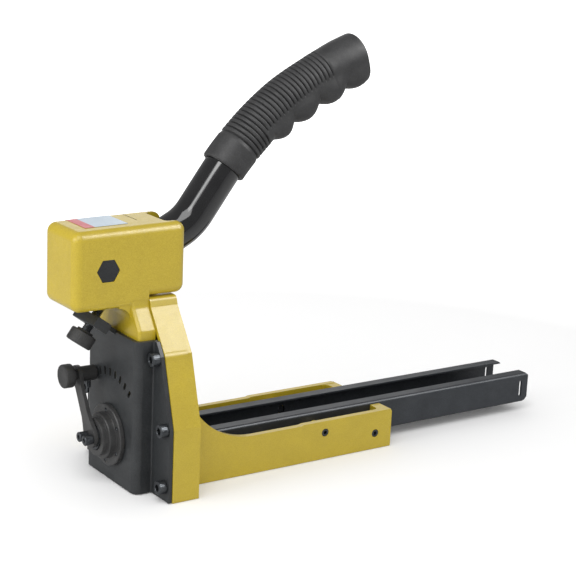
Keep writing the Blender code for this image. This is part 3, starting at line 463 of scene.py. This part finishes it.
# ------------------------------------------------------------------ head
def build_head():
    z0, z1, z2, z3 = BOX_Z
    slope = (z2 - z3) / (BOX_X1 - BOX_X0)

    def half_box(x0, x1, floor, join):
        bm = prism([(x0, floor), (x1, floor), (x1, z3 + slope * (x1 - BOX_X0)), (x0, z3 + slope * (x0 - BOX_X0))], "y", -BOX_HALF, BOX_HALF)
        bmesh.ops.recalc_face_normals(bm, faces=bm.faces)
        edges = [e for e in bm.edges if not all(abs(v.co.x - join * MM) < 1e-6 for v in e.verts)]
        bmesh.ops.bevel(bm, geom=edges, offset=BOX_R * MM, offset_type="OFFSET", segments=10, profile=0.5, affect="EDGES", clamp_overlap=True)
        return bm
    ob = as_object("head_shell", half_box(BOX_X0, BOX_STEP_X, z0, BOX_STEP_X))
    half = [(20.1, 126.0), (20.1, 115.4), (29.0, 102.6), (29.0, 52.0)]
    neck = rounded(half + [(-y, z) for y, z in reversed(half)], [0, 5.0, 3.0, 0, 0, 3.0, 5.0, 0], 6)
    nb = prism(neck, "x", -11.7, -0.3)
    bmesh.ops.recalc_face_normals(nb, faces=nb.faces)
    long_edges = [e for e in nb.edges if all(abs(v.co.x + 0.0117) < 1e-6 for v in e.verts)]
    bmesh.ops.bevel(nb, geom=long_edges, offset=2.2 * MM, offset_type="OFFSET", segments=5, profile=0.5, affect="EDGES", clamp_overlap=True)
    fillet = [(-10.0, 120.0), (-10.0, 106.8)] + [(-19.7 + 8.0 * math.cos(math.radians(a)), 107.6 + 8.0 * math.sin(math.radians(a))) for a in (4, 15, 30, 45, 60, 75, 88)] + [(-19.7, 120.0)]
    steps = [("UNION", half_box(BOX_STEP_X - 0.05, BOX_X1, z1, BOX_STEP_X - 0.05)),
             ("UNION", nb),
             ("UNION", prism(fillet, "y", -18.5, 18.5)),
             ("DIFFERENCE", block(-44.0, 30.0, -13.3, 13.3, 120.0, 161.0)),
             ("DIFFERENCE", block(-0.25, 0.3, -3.0, 18.0, 164.6, 168.0)),
             ("DIFFERENCE", block(0.3, 30.0, -13.3, 13.3, 110.0, 140.0)),
             ("DIFFERENCE", prism(rounded([(14.0, -13.3), (14.0, 13.3), (40.0, 13.3), (40.0, -13.3)], [3.5, 3.5, 0, 0], 6), "z", 150.0, 170.0)),
             ("DIFFERENCE", rod((PIVOT[0], 0, PIVOT[1]), (0, 1, 0), -21.0, -15.0, 13.4 / math.sqrt(3), 6, phase=math.pi / 2)),
             ("DIFFERENCE", rod((PIVOT[0], 0, PIVOT[1]), (0, 1, 0), 15.0, 21.0, 13.4 / math.sqrt(3), 6, phase=math.pi / 2)),
             ("DIFFERENCE", rod((PIVOT[0], 0, PIVOT[1]), (0, 1, 0), -16.0, 16.0, 4.3, 32)),
             ("DIFFERENCE", rod((STOP_P[0], 0, STOP_P[1]), D3, 14.0, 34.0, 3.5, 32))]
    combine(ob, steps)
    soften(ob, 0.6, 3, 34.0)
    return finish(ob, YELLOW, "frame", ["head_casting"])


# ------------------------------------------------------------------ front plate
d2, n2 = Vector(STOP_D), Vector((STOP_D[1], -STOP_D[0]))


def stop_pt(along, across):
    p = Vector(STOP_P) + d2 * along + n2 * across
    return (p.x, p.y)


def build_plate():
    f, h, t = -14.5, 31.8, 2.5
    hat = [(-0.2, 53.0), (-0.2, h - t), (f + t, h - t), (f + t, -(h - t)), (-0.2, -(h - t)), (-0.2, -53.0), (-2.7, -53.0), (-2.7, -h), (f, -h), (f, h), (-2.7, h), (-2.7, 53.0)]
    hat_r = [0, 2.6, 2.4, 2.4, 2.6, 0, 0, 1.0, 4.9, 4.9, 1.0, 0]
    ob = as_object("front_plate_sheet", prism(rounded(hat, hat_r, 8), "z", 0.4, 97.0))
    trim = [(52.9, -5.0), (52.9, 46.2), (40.1, 89.0), (33.4, 98.5), (33.4, 130.0)]
    trim = trim + [(-y, z) for y, z in reversed(trim)]
    trim = rounded(trim, [0, 2, 3, 3, 0, 0, 3, 3, 2, 0], 4)
    steps = [("INTERSECT", prism(trim, "x", -30.0, 5.0))]
    tab = [stop_pt(9.0, -2.0), stop_pt(11.5, -2.0), stop_pt(11.5, 17.1), (-12.02, 97.0), (-12.02, 94.0), (-14.4, 94.0), (-14.4, 95.6)]
    steps.append(("UNION", prism(rounded(tab, [0, 0, 2.5, 0, 0, 0, 3.0], 5), "y", -4.5, 4.5)))
    bar = prism(rounded([stop_pt(5.2, -5.8), stop_pt(11.8, -5.8), stop_pt(11.8, 5.3), stop_pt(5.2, 5.3)], 0.7, 4), "y", -13.5, 13.5)
    steps.append(("UNION", bar))
    steps.append(("DIFFERENCE", rod((STOP_P[0], 0, STOP_P[1]), D3, 4.0, 13.0, 3.25, 32)))
    for k in range(SLOT_COUNT):
        a = math.radians(SLOT_FIRST + SLOT_PITCH * k)
        c = Vector((BEAR_Y + SLOT_R * math.sin(a), BEAR_Z + SLOT_R * math.cos(a)))
        u, w = Vector((math.sin(a), math.cos(a))), Vector((math.cos(a), -math.sin(a)))
        pts = [c + u * (1.55 + 1.15 * math.sin(math.pi * j / 8)) + w * (1.15 * math.cos(math.pi * j / 8)) for j in range(9)]
        pts += [c + u * (-1.55 + 1.15 * math.sin(math.pi + math.pi * j / 8)) + w * (1.15 * math.cos(math.pi + math.pi * j / 8)) for j in range(9)]
        steps.append(("DIFFERENCE", prism([(p.x, p.y) for p in pts], "x", -16.0, -11.0)))
    steps.append(("DIFFERENCE", rod((0, BEAR_Y, BEAR_Z), (1, 0, 0), -16.0, -11.0, 11.0, 48)))
    for s in (1, -1):
        for y, z in PLATE_SCREWS:
            steps.append(("DIFFERENCE", rod((0, s * y, z), (1, 0, 0), -4.0, 1.0, 2.75, 32)))
    for k in range(6):
        a = math.radians(30 + 60 * k)
        steps.append(("DIFFERENCE", rod((0, BEAR_Y + 16.2 * math.cos(a), BEAR_Z + 16.2 * math.sin(a)), (1, 0, 0), -16.0, -11.0, 1.45, 20)))
    combine(ob, steps)
    soften(ob, 0.28, 2, 34.0)
    return finish(ob, BLACK, "frame", ["front_plate"])


# ------------------------------------------------------------------ magazine
def build_magazine():
    m0, sh, z0, z1 = 19.5, 1.5, 6.2, 27.8
    m1, lip = m0 - sh, m0 - 9.0
    prof = [(m0, z0), (m0, z1), (lip, z1), (lip, z1 - sh), (m1, z1 - sh), (m1, z0 + sh), (-m1, z0 + sh), (-m1, z1 - sh), (-lip, z1 - sh), (-lip, z1), (-m0, z1), (-m0, z0)]
    r = [2.2, 2.2, 0.3, 0.3, 0.9, 0.9, 0.9, 0.9, 0.3, 0.3, 2.2, 2.2]
    ob = as_object("magazine_track", prism(rounded(prof, r, 6), "x", 6.5, 317.0))
    slot_ = rounded([(309.2, 11.0), (311.4, 11.0), (311.4, 22.5), (309.2, 22.5)], 0.9, 4)
    steps = [("DIFFERENCE", prism(slot_, "y", -22.0, 22.0)),
             ("DIFFERENCE", prism([(312.5, 5.0), (318.0, 5.0), (318.0, 11.0)], "y", -22.0, 22.0)),
             ("DIFFERENCE", prism([(314.8, 28.5), (318.0, 28.5), (318.0, 25.3)], "y", -22.0, 22.0))]
    for x, z in RAIL_SCREWS:
        steps.append(("DIFFERENCE", rod((x, 0, z), (0, 1, 0), -22.0, 22.0, 2.85, 24)))
    combine(ob, steps)
    soften(ob, 0.18, 2, 40.0)
    return finish(ob, TRACK, "frame", ["magazine_channel"])


# ------------------------------------------------------------------ handle
th2, th1 = math.radians(27.5), math.radians(53.7)
L0, R1, L1, R2 = 11.6, 35.8, 24.2, 201.3
START = (20.0, 150.85)
A1 = R1 * (th1 - th2)


def line_at(s):
    x, z, a = START[0], START[1], th2
    q = min(s, L0)
    x, z = x + q * math.cos(a), z + q * math.sin(a)
    if s > L0:
        q = min(s - L0, A1)
        b = a + q / R1
        x, z = x + R1 * (math.sin(b) - math.sin(a)), z - R1 * (math.cos(b) - math.cos(a))
        a = b
    if s > L0 + A1:
        q = min(s - L0 - A1, L1)
        x, z = x + q * math.cos(a), z + q * math.sin(a)
    if s > L0 + A1 + L1:
        b = a - (s - L0 - A1 - L1) / R2
        x, z = x - R2 * (math.sin(b) - math.sin(a)), z + R2 * (math.cos(b) - math.cos(a))
        a = b
    return Vector((x, 0, z)), a


def ring(bm, s, radius_at, n):
    c, a = line_at(s)
    nor = Vector((-math.sin(a), 0, math.cos(a)))
    return [bm.verts.new((c + (nor * math.cos(2 * math.pi * i / n) + Vector((0, 1, 0)) * math.sin(2 * math.pi * i / n)) * radius_at(2 * math.pi * i / n)) * MM) for i in range(n)]


def bridge(bm, rings, closed=False):
    n = len(rings[0])
    for a, b in list(zip(rings, rings[1:])) + ([(rings[-1], rings[0])] if closed else []):
        for i in range(n):
            j = (i + 1) % n
            bm.faces.new([a[i], a[j], b[j], b[i]])


def span(lo, hi, n):
    return [lo + (hi - lo) * i / n for i in range(n + 1)]


def table(points, s):
    if s <= points[0][0]:
        return points[0][1]
    for (a, u), (b, v) in zip(points, points[1:]):
        if s <= b:
            k = (s - a) / (b - a)
            k = k * k * (3 - 2 * k)
            return u + (v - u) * k
    return points[-1][1]


def build_tube():
    ss = [0.5, 0.8, 1.2] + span(3.0, 60.0, 48) + span(66.0, 172.0, 30)
    bm = bmesh.new()
    n = 56
    outer = [ring(bm, s, lambda q, s=s: TUBE_R - (0.5 - min(0.5, max(0, s - 0.5))) * 0.9, n) for s in ss]
    inner = [ring(bm, s, lambda q: TUBE_R - TUBE_WALL, n) for s in reversed(ss)]
    bridge(bm, outer + inner, True)
    ob = as_object("handle_bar", bm)
    c, a = line_at(6.0)
    combine(ob, [("DIFFERENCE", rod((c.x, 0, c.z), (0, 1, 0), -14.0, 14.0, 2.1, 24))])
    return finish(ob, GLOSS, "handle", ["handle_tube"], weighted=False)


UPPER = [(60, 14.3), (115, 14.5), (145, 13.75), (155, 13.9), (170, 14.5), (179.5, 14.7)]
FINGERS = [(96.5, 115.0, 14.2, 14.5, 4.4), (115.0, 138.5, 14.5, 15.0, 5.3), (138.5, 162.0, 15.0, 15.3, 5.5), (162.0, 184.0, 15.3, 15.6, 3.8)]


def lower(s):
    """Radius along the underside: round finger bumps with sharp valleys between them."""
    for a, b, va, vb, height in FINGERS:
        if a <= s <= b:
            u = (s - a) / (b - a)
            return va + (vb - va) * u + height * max(0.0, math.sin(math.pi * u)) ** 0.9
    return 14.2

RIB0, RIBS, RIB_PITCH = 78.2, 24, 3.08


def smooth01(x):
    x = max(0.0, min(1.0, x))
    return x * x * (3 - 2 * x)


def grip_radius(s, q):
    up, dn = table(UPPER, s), lower(s)
    c = math.cos(q)
    r = up if c >= 0 else up + (dn - up) * smooth01(-c * 1.1) ** 1.2
    # soft collar at the mouth
    if s < 76.4:
        r += 0.35 * smooth01((76.4 - s) / 0.9) - 0.6 * smooth01((60.9 - s) / 0.9)
    end = RIB0 + RIBS * RIB_PITCH
    if s > end:
        r += 0.3 * smooth01((s - end) / 1.4) * smooth01((s - 60) / 20)
    if RIB0 <= s <= end:
        k = ((s - RIB0) / RIB_PITCH) % 1.0
        crest = min(1.0, abs(math.sin(math.pi * k)) * 1.5)
        fade = 1.0 if s < 91 else 1.0 - smooth01((-c + 0.02) / 0.10) * smooth01((s - 91) / 2.5)
        r += (1.4 * crest - 1.1) * fade
    return r


def build_grip():
    n = 112
    end_s, tip = 179.4, 181.0
    ss = [60.0, 60.3, 60.7, 61.2] + span(62.5, 75.0, 8) + [75.6, 76.0, 76.4, 76.8]
    ss += span(RIB0, RIB0 + RIBS * RIB_PITCH, RIBS * 8) + span(RIB0 + RIBS * RIB_PITCH + 0.5, end_s, 40)
    bm = bmesh.new()
    rings = [ring(bm, s, lambda q, s=s: grip_radius(s, q), n) for s in ss]
    # end: a small rounded edge, then a nearly flat face
    for k in range(1, 9):
        a = math.pi / 2 * k / 8
        s = end_s + (tip - end_s) * math.sin(a)
        shrink = (1 - math.cos(a)) * 1.7
        rings.append(ring(bm, s, lambda q, s=s, e=shrink: grip_radius(end_s, q) - e, n))
    for e in (5.0, 8.0, 11.0, 12.5):
        rings.append(ring(bm, tip + 0.05 * e, lambda q, e=e: grip_radius(end_s, q) - e, n))
    bridge(bm, rings)
    bm.faces.new(rings[-1])
    inner = [ring(bm, s, lambda q: TUBE_R + 0.25, n) for s in [174.0] + list(reversed(span(60.0, 168.0, 20)))]
    bm.faces.new(inner[0])
    bridge(bm, inner)
    bridge(bm, [inner[-1], rings[0]])
    ob = as_object("grip_sleeve", bm)
    return finish(ob, RUBBER, "handle", ["rubber_grip"], sharp=60.0, weighted=False)


# ------------------------------------------------------------------ fasteners
def hex_tool(at, direction, h0, h1, across):
    return rod(at, direction, h0, h1, across / math.sqrt(3), 6)


def cap_screw(name, at, direction, head_r, head_h, shank_r, length, across, body, node, tip_chamfer=0.5, knurl=True):
    c = 0.45
    prof = [(-head_h, 0), (-head_h, head_r - c * 1.5), (-head_h + c * 0.3, head_r - c * 0.6), (-head_h + c, head_r), (-head_h + c + 0.15, head_r), (-0.5, head_r), (-0.2, head_r - 0.1), (0, head_r - 0.3), (0, shank_r), (length - tip_chamfer, shank_r), (length, shank_r - tip_chamfer), (length, 0)]
    n = 96 if knurl else 48

    def shape(q, h, r):
        if knurl and r >= head_r - 1e-6 and -head_h + c + 0.1 <= h <= -0.45:
            return r - 0.13 * (0.5 + 0.5 * math.cos(q * 32))
        return r
    ob = as_object(name, lathe(prof, at, direction, n, radius=shape))
    combine(ob, [("DIFFERENCE", hex_tool(at, direction, -head_h - 1.0, -head_h * 0.4, across)),
                 ("DIFFERENCE", lathe([(-head_h - 0.6, 0), (-head_h - 0.6, across * 0.577 + 0.75), (-head_h + 0.35, across * 0.5), (-head_h + 0.35, 0)], at, direction, 32))])
    return finish(ob, OXIDE, body, [node], sharp=30.0)


def build_fasteners():
    k = 0
    for s in (-1, 1):
        for y, z in PLATE_SCREWS:
            k += 1
            cap_screw("flange_screw_%d" % k, (-2.85, s * y, z), (1, 0, 0), 4.25, 5.0, 2.5, 12.6, 4.0, "frame", "plate_screw_%d" % k)
    for i, s in enumerate((1, -1)):
        cap_screw("arm_screw_%d" % (i + 1), (-29.0, s * 3.6, BEAR_Z), (1, 0, 0), 3.1, 5.6, 1.5, 9.4, 2.5, "adjuster", "lever_screw_%d" % (i + 1))
    k = 0
    for s in (-1, 1):
        for x, z in RAIL_SCREWS:
            k += 1
            ob = as_object("track_screw_%d" % k, lathe([(18.2, 0), (18.2, 2.1), (18.6, 2.5), (33.4, 2.6), (33.75, 2.45), (33.85, 2.2), (33.85, 0)], (x, 0, z), (0, s, 0), 40))
            combine(ob, [("DIFFERENCE", hex_tool((x, 0, z), (0, s, 0), 31.4, 35.0, 2.5))])
            finish(ob, OXIDE, "frame", ["rail_screw_%d" % k], sharp=30.0)
    ph = (PIVOT[0], 0, PIVOT[1])
    ob = as_object("pivot_hex_bolt", rod(ph, (0, 1, 0), -20.2, -15.2, 13.0 / math.sqrt(3), 6, phase=math.pi / 2))
    combine(ob, [("UNION", rod(ph, (0, 1, 0), -16.0, 19.4, 4.0, 40)),
                 ("INTERSECT", lathe([(-20.2, 0), (-20.2, 6.75), (-19.4, 8.2), (20.0, 8.2), (20.0, 0)], ph, (0, 1, 0), 64))])
    finish(soften(ob, 0.12, 2, 40.0), BOLT, "frame", ["pivot_bolt"], sharp=30.0)
    ob = as_object("pivot_hex_nut", rod(ph, (0, 1, 0), 15.2, 20.2, 13.0 / math.sqrt(3), 6, phase=math.pi / 2))
    combine(ob, [("INTERSECT", lathe([(15.0, 0), (15.0, 8.2), (19.4, 8.2), (20.2, 6.75), (20.2, 0)], ph, (0, 1, 0), 64)),
                 ("DIFFERENCE", rod(ph, (0, 1, 0), 14.0, 21.0, 4.12, 40))])
    finish(soften(ob, 0.12, 2, 40.0), BOLT, "frame", ["pivot_nut"], sharp=30.0)
    for k in range(6):
        a = math.radians(30 + 60 * k)
        c = (0, BEAR_Y + 16.2 * math.cos(a), BEAR_Z + 16.2 * math.sin(a))
        ob = as_object("bearing_rivet_%d" % (k + 1), lathe([(-17.3, 0), (-17.15, 0.5), (-17.0, 0.75), (-17.25, 1.0), (-17.35, 1.3), (-12.1, 1.3), (-12.1, 0)], c, (1, 0, 0), 28))
        finish(ob, OXIDE, "frame", ["flange_rivet_%d" % (k + 1)], weighted=False)


# ------------------------------------------------------------------ depth adjuster
def build_adjuster():
    o = (0, BEAR_Y, BEAR_Z)
    prof = [(-14.7, 8.2), (-14.7, 19.4), (-14.9, 19.6), (-16.9, 19.6), (-17.35, 19.45), (-17.7, 19.0), (-17.7, 15.2), (-17.95, 14.7), (-18.4, 14.5), (-21.3, 14.5), (-21.8, 14.35), (-22.1, 13.9), (-22.1, 12.5), (-22.3, 12.1), (-22.7, 12.0), (-25.0, 12.0), (-25.4, 11.85), (-25.6, 11.45), (-25.6, 8.6), (-25.3, 8.2)]
    ob = as_object("bearing_housing", lathe(prof, o, (1, 0, 0), 96))
    steps = []
    for k in range(6):
        a = math.radians(30 + 60 * k)
        c = (0, BEAR_Y + 16.2 * math.cos(a), BEAR_Z + 16.2 * math.sin(a))
        steps.append(("DIFFERENCE", rod(c, (1, 0, 0), -19.0, -14.0, 1.5, 24)))
    combine(ob, steps)
    finish(ob, BEARING, "frame", ["bearing_flange"], sharp=32.0)
    top, low = Vector((KNOB_Y, KNOB_Z)), Vector((BEAR_Y, BEAR_Z))
    al = (top - low).normalized()
    ac = Vector((al.y, -al.x))
    pts = [low - al * (6.5 * math.sin(math.pi * j / 24)) - ac * (7.45 * math.cos(math.pi * j / 24)) for j in range(25)]
    pts += [low + al * 4.0 + ac * 6.9, low + al * 9.5 + ac * 5.2, low + al * 14.0 + ac * 4.3]
    pts += [top - al * 7.5 + ac * 4.1, top - al * 3.5 + ac * 5.4]
    pts += [top + al * (6.0 * math.sin(math.pi * j / 24)) + ac * (6.0 * math.cos(math.pi * j / 24)) for j in range(25)]
    pts += [top - al * 3.5 - ac * 5.4, top - al * 7.5 - ac * 4.1]
    pts += [low + al * 14.0 - ac * 4.3, low + al * 9.5 - ac * 5.2, low + al * 4.0 - ac * 6.9]
    ob = as_object("adjust_arm", prism([(p.x, p.y) for p in pts], "x", -28.8, -26.3))
    combine(ob, [("DIFFERENCE", rod((0, KNOB_Y, KNOB_Z), (1, 0, 0), -30.0, -25.0, 3.4, 32))] +
            [("DIFFERENCE", rod((0, s * 3.6, BEAR_Z), (1, 0, 0), -30.0, -25.0, 1.75, 24)) for s in (1, -1)])
    soften(ob, 0.45, 3, 40.0)
    finish(ob, BEARING, "adjuster", ["adjust_lever"])
    pk = (0, KNOB_Y, KNOB_Z)
    prof = [(-30.6, 1.9), (-30.6, 3.0), (-30.4, 3.2), (-26.1, 3.2), (-26.1, 4.5), (-25.8, 4.8), (-16.2, 4.8), (-15.6, 4.6), (-15.3, 4.1), (-15.3, 1.9), (-17.0, 1.9), (-17.0, 3.2), (-25.3, 3.2), (-25.3, 1.9)]
    finish(as_object("plunger_housing", lathe(prof, pk, (1, 0, 0), 64)), KNOB, "adjuster", ["plunger_barrel"], sharp=30.0)
    prof = [(-37.4, 0), (-37.55, 4.0), (-37.7, 5.6), (-37.7, 6.7), (-37.5, 7.2), (-37.0, 7.5), (-32.3, 7.5), (-31.8, 7.3), (-31.6, 6.8), (-31.6, 3.6), (-34.3, 3.6), (-34.3, 1.9), (-36.0, 1.9), (-36.0, 0)]

    def knurl(q, h, r):
        return r - 0.12 * (0.5 + 0.5 * math.cos(q * 40)) if r >= 7.45 else r
    finish(as_object("pull_knob", lathe(prof, pk, (1, 0, 0), 160, radius=knurl)), KNOB, "plunger", ["plunger_knob"], sharp=40.0, weighted=False)
    finish(as_object("lock_pin", lathe([(-35.8, 0), (-35.8, 1.7), (-20.9, 1.7), (-20.9, 2.85), (-20.8, 2.95), (-19.8, 2.95), (-19.7, 2.85), (-19.7, 1.7), (-17.9, 1.7), (-17.6, 1.0), (-15.1, 1.0), (-14.8, 0.7), (-14.8, 0)], pk, (1, 0, 0), 40)), STEEL, "plunger", ["plunger_pin"], sharp=30.0)
    ob = as_object("housing_set_screw", lathe([(5.1, 0), (5.1, 1.4), (9.3, 1.4), (9.6, 1.1), (9.6, 0)], (-19.5, KNOB_Y, KNOB_Z), (0, 0, -1), 32))
    combine(ob, [("DIFFERENCE", hex_tool((-19.5, KNOB_Y, KNOB_Z), (0, 0, -1), 8.0, 10.5, 1.5))])
    finish(ob, OXIDE, "adjuster", ["barrel_set_screw"], sharp=30.0)


# ------------------------------------------------------------------ stop screw
def build_stop():
    sp = (STOP_P[0], 0, STOP_P[1])
    prof = [(-4.0, 0), (-4.0, 2.5), (-3.5, 3.0), (-2.0, 3.0)]
    h = 1.3
    prof.append((1.25, 2.95))
    while h < 31.6:
        prof += [(h + 0.12, 3.0), (h + 0.38, 3.0), (h + 0.62, 2.55), (h + 0.88, 2.55)]
        h += 1.0
    prof += [(32.1, 2.95), (32.6, 2.45), (32.6, 0)]
    finish(as_object("stop_threaded_stud", lathe(prof, sp, D3, 40)), OXIDE, "stop_screw", ["stop_stud"], sharp=50.0, weighted=False)
    prof = [(-8.2, 3.15), (-8.2, 7.2), (-8.05, 7.8), (-7.6, 8.2), (-7.2, 8.3), (-1.0, 8.3), (-0.5, 8.15), (-0.1, 7.6), (0.0, 6.9), (0.0, 5.5), (0.25, 5.25), (1.0, 5.2), (1.2, 5.0), (1.2, 3.15)]

    def knurl(q, h, r):
        return r - 0.16 * (0.5 + 0.5 * math.cos(q * 44)) if r >= 8.29 else r
    finish(as_object("stop_thumb_knob", lathe(prof, sp, D3, 176, radius=knurl)), KNOB, "stop_knob", ["stop_knob"], sharp=40.0, weighted=False)


# ------------------------------------------------------------------ label
def build_label():
    z0, z1, z2, z3 = BOX_Z
    slope = (z2 - z3) / (BOX_X1 - BOX_X0)
    r = BOX_R
    bm = bmesh.new()
    rows = []
    ny, nx = 44, 20
    for i in range(nx + 1):
        x = -38.0 + 28.5 * i / nx
        zt = z3 + slope * (x - BOX_X0)
        row = []
        for j in range(ny + 1):
            u = -9.2 + 28.0 * j / ny
            flat = BOX_HALF - r
            if u <= flat:
                y, z, nrm = u, zt, Vector((0, 0, 1))
            else:
                a = (u - flat) / r
                y, z, nrm = flat + r * math.sin(a), zt - r * (1 - math.cos(a)), Vector((0, math.sin(a), math.cos(a)))
            row.append((Vector((x, y, z)), nrm))
        rows.append(row)
    lo = [[bm.verts.new((p + n * 0.10) * MM) for p, n in row] for row in rows]
    hi = [[bm.verts.new((p + n * 0.26) * MM) for p, n in row] for row in rows]
    for i in range(nx):
        for j in range(ny):
            bm.faces.new([hi[i][j], hi[i + 1][j], hi[i + 1][j + 1], hi[i][j + 1]])
            bm.faces.new([lo[i][j], lo[i][j + 1], lo[i + 1][j + 1], lo[i + 1][j]])
    for i in range(nx):
        bm.faces.new([lo[i][0], lo[i + 1][0], hi[i + 1][0], hi[i][0]])
        bm.faces.new([lo[i][ny], lo[i + 1][ny], hi[i + 1][ny], hi[i][ny]])
    for j in range(ny):
        bm.faces.new([lo[0][j], lo[0][j + 1], hi[0][j + 1], hi[0][j]])
        bm.faces.new([lo[nx][j], lo[nx][j + 1], hi[nx][j + 1], hi[nx][j]])
    finish(as_object("blank_label", bm), LABEL, "frame", ["name_label"], weighted=False)


# ------------------------------------------------------------------ springs
def coil(centre, direction, r, wire, length, turns, steps=28, sides=12):
    d, u, v = basis(direction)
    c = Vector(centre)
    n = int(turns * steps)
    lead = 0.9

    def height(t):
        # closed, ground ends: the first and last turns lie nearly flat
        a, b = lead, turns - lead
        if t < a:
            return 1.05 * wire * 2 * t * 0.5
        if t > b:
            return length - 1.05 * wire * 2 * (turns - t) * 0.5
        e = 1.05 * wire * lead
        return e + (length - 2 * e) * (t - a) / (b - a)
    path = [c + d * height(turns * i / n) + (u * math.cos(2 * math.pi * turns * i / n) + v * math.sin(2 * math.pi * turns * i / n)) * r for i in range(n + 1)]
    bm = bmesh.new()
    rings = []
    for i, p in enumerate(path):
        tan = (path[min(i + 1, n)] - path[max(i - 1, 0)]).normalized()
        a = 2 * math.pi * turns * i / n
        rad = u * math.cos(a) + v * math.sin(a)
        rad = (rad - tan * rad.dot(tan)).normalized()
        bi = tan.cross(rad)
        rings.append([bm.verts.new((p + (rad * math.cos(2 * math.pi * k / sides) + bi * math.sin(2 * math.pi * k / sides)) * wire) * MM) for k in range(sides)])
    bridge(bm, rings)
    bm.faces.new(rings[0])
    bm.faces.new(rings[-1])
    return bm


def build_springs():
    for i, s in enumerate((1, -1)):
        tag = ("far", "near")[i]
        ob = as_object("driver_spring_" + tag, coil((9.8, s * 15.0, 31.9), (0, 0, 1), 3.5, 0.6, 33.2, 8))
        finish(ob, SPRING, "frame", ["return_spring_" + tag], weighted=False)
        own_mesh(ob)
    ob = as_object("lock_spring", coil((-24.95, KNOB_Y, KNOB_Z), (1, 0, 0), 2.45, 0.3, 2.9, 4, 24, 10))
    finish(ob, SPRING, "adjuster", ["plunger_spring"], weighted=False)


build_frame()
build_head()
build_plate()
build_magazine()
build_tube()
build_grip()
build_fasteners()
build_adjuster()
build_stop()
build_label()
build_springs()

# carried-over CAD parts: inside pieces whose shape is right
CARRIED = {
    "lever_block": STEEL, "pivot_bush": BRONZE, "drive_roller": STEEL, "roller_pin": STEEL, "handle_cross_pin": OXIDE,
    "crosshead": STEEL, "driver_blade": STEEL, "driver_screw_1": OXIDE, "driver_screw_2": OXIDE,
    "clincher_far": STEEL, "clincher_near": STEEL, "clincher_pin_far": STEEL, "clincher_pin_near": STEEL,
    "eccentric_shaft": OXIDE, "pusher_block": BLACK, "feed_spring_drum": SPRING, "drum_pin": STEEL, "pusher_tab": OXIDE,
}
for name, mat in CARRIED.items():
    ob = NODES[name]
    for i in range(max(1, len(ob.material_slots))):
        if ob.material_slots:
            ob.material_slots[i].material = mat
        else:
            ob.data.materials.append(mat)

# ------------------------------------------------------------------ floor, light, camera
fm = Nodes("pale_floor")
path = fm.add("ShaderNodeLightPath")
far = fm.add("ShaderNodeVectorMath")
far.operation = "LENGTH"
fm.link(fm.co, far.inputs[0])
# painted light on the floor: to the camera only, it glows white at 0.07 next to the tool, lifting the floor and its
# cast shadow, rising to full white far out to meet the backdrop; glossy rays see a darker painted copy of the floor
# (0.5 instead of 0.9), which dims the floor's reflections in the parts
edge = fm.ramp(far.outputs["Value"], [(0.40, (0.07, 0.07, 0.07)), (0.95, (1.0, 1.0, 1.0))])
fm.set(Base_Color=fm.ramp(path.outputs["Is Glossy Ray"], [(0.0, (0.90, 0.90, 0.90)), (1.0, (0.50, 0.50, 0.50))]), Roughness=0.6, Specular_IOR_Level=0.2, Emission_Color=(1.0, 1.0, 1.0), Emission_Strength=fm.math("MULTIPLY", edge, path.outputs["Is Camera Ray"]))
bm = bmesh.new()
bmesh.ops.create_grid(bm, x_segments=2, y_segments=2, size=6.0)
floor = as_object("floor", bm)
floor.location = (0.1, 0, -0.0003)
floor.data.materials.append(fm.m)

world = bpy.data.worlds.new("studio")
bpy.context.scene.world = world
world.use_nodes = True
wt = world.node_tree
back_node = wt.nodes["Background"]
back_node.inputs["Color"].default_value = (1.0, 1.0, 1.0, 1.0)
ray = wt.nodes.new("ShaderNodeLightPath")


def by_ray(socket, factor, base):
    m = wt.nodes.new("ShaderNodeMath")
    m.operation = "MULTIPLY_ADD"
    wt.links.new(socket, m.inputs[0])
    m.inputs[1].default_value = factor
    if isinstance(base, float):
        m.inputs[2].default_value = base
    else:
        wt.links.new(base, m.inputs[2])
    return m.outputs[0]


wt.links.new(by_ray(ray.outputs["Is Camera Ray"], 0.18, by_ray(ray.outputs["Is Glossy Ray"], -0.56, 0.82)), back_node.inputs["Strength"])


def area(name, loc, target, size, power, colour=(1, 1, 1)):
    l = bpy.data.lights.new(name, "AREA")
    l.shape, l.size, l.size_y = "RECTANGLE", size[0], size[1]
    l.energy, l.color = power, colour
    o = bpy.data.objects.new(name, l)
    bpy.context.scene.collection.objects.link(o)
    o.location = Vector(loc) - Vector((REST_X * MM, 0, 0))
    o.rotation_euler = (Vector(loc) - Vector(target)).to_track_quat("Z", "Y").to_euler()
    return o


glare = area("facet_glare", (0.85, -0.70, 1.05), (0.0, 0, 0.09), (0.8, 0.8), 17.0)
glare.visible_diffuse = False
rim = area("top_glare", (0.80, 1.15, 0.62), (0.0, 0, 0.16), (0.7, 0.4), 1.1)
rim.visible_diffuse = False
streak = area("tube_streak", (-1.15, -0.85, 1.0), (0.05, 0, 0.2), (0.55, 1.3), 5.5)
streak.visible_diffuse = False
area("top_fill", (-0.5, -0.7, 1.5), (0.05, 0, 0.1), (1.0, 1.0), 9.0)
area("front_fill", (-1.4, 0.1, 0.7), (0.0, 0, 0.1), (0.9, 0.9), 8.5)

cam_data = bpy.data.cameras.new("camera")
cam_data.sensor_width, cam_data.lens = 36.0, 100.01
cam = bpy.data.objects.new("camera", cam_data)
bpy.context.scene.collection.objects.link(cam)
right = (0.82633948, -0.56156915, 0.04246352)
up = (0.10742956, 0.23119805, 0.96695726)
back = (-0.55283085, -0.79447313, 0.25137721)
cam.matrix_world = Matrix(((right[0], up[0], back[0], -0.46229 - REST_X * MM), (right[1], up[1], back[1], -0.82970), (right[2], up[2], back[2], 0.37165), (0, 0, 0, 1)))
bpy.context.scene.camera = cam
bpy.context.scene.view_settings.view_transform = "Standard"
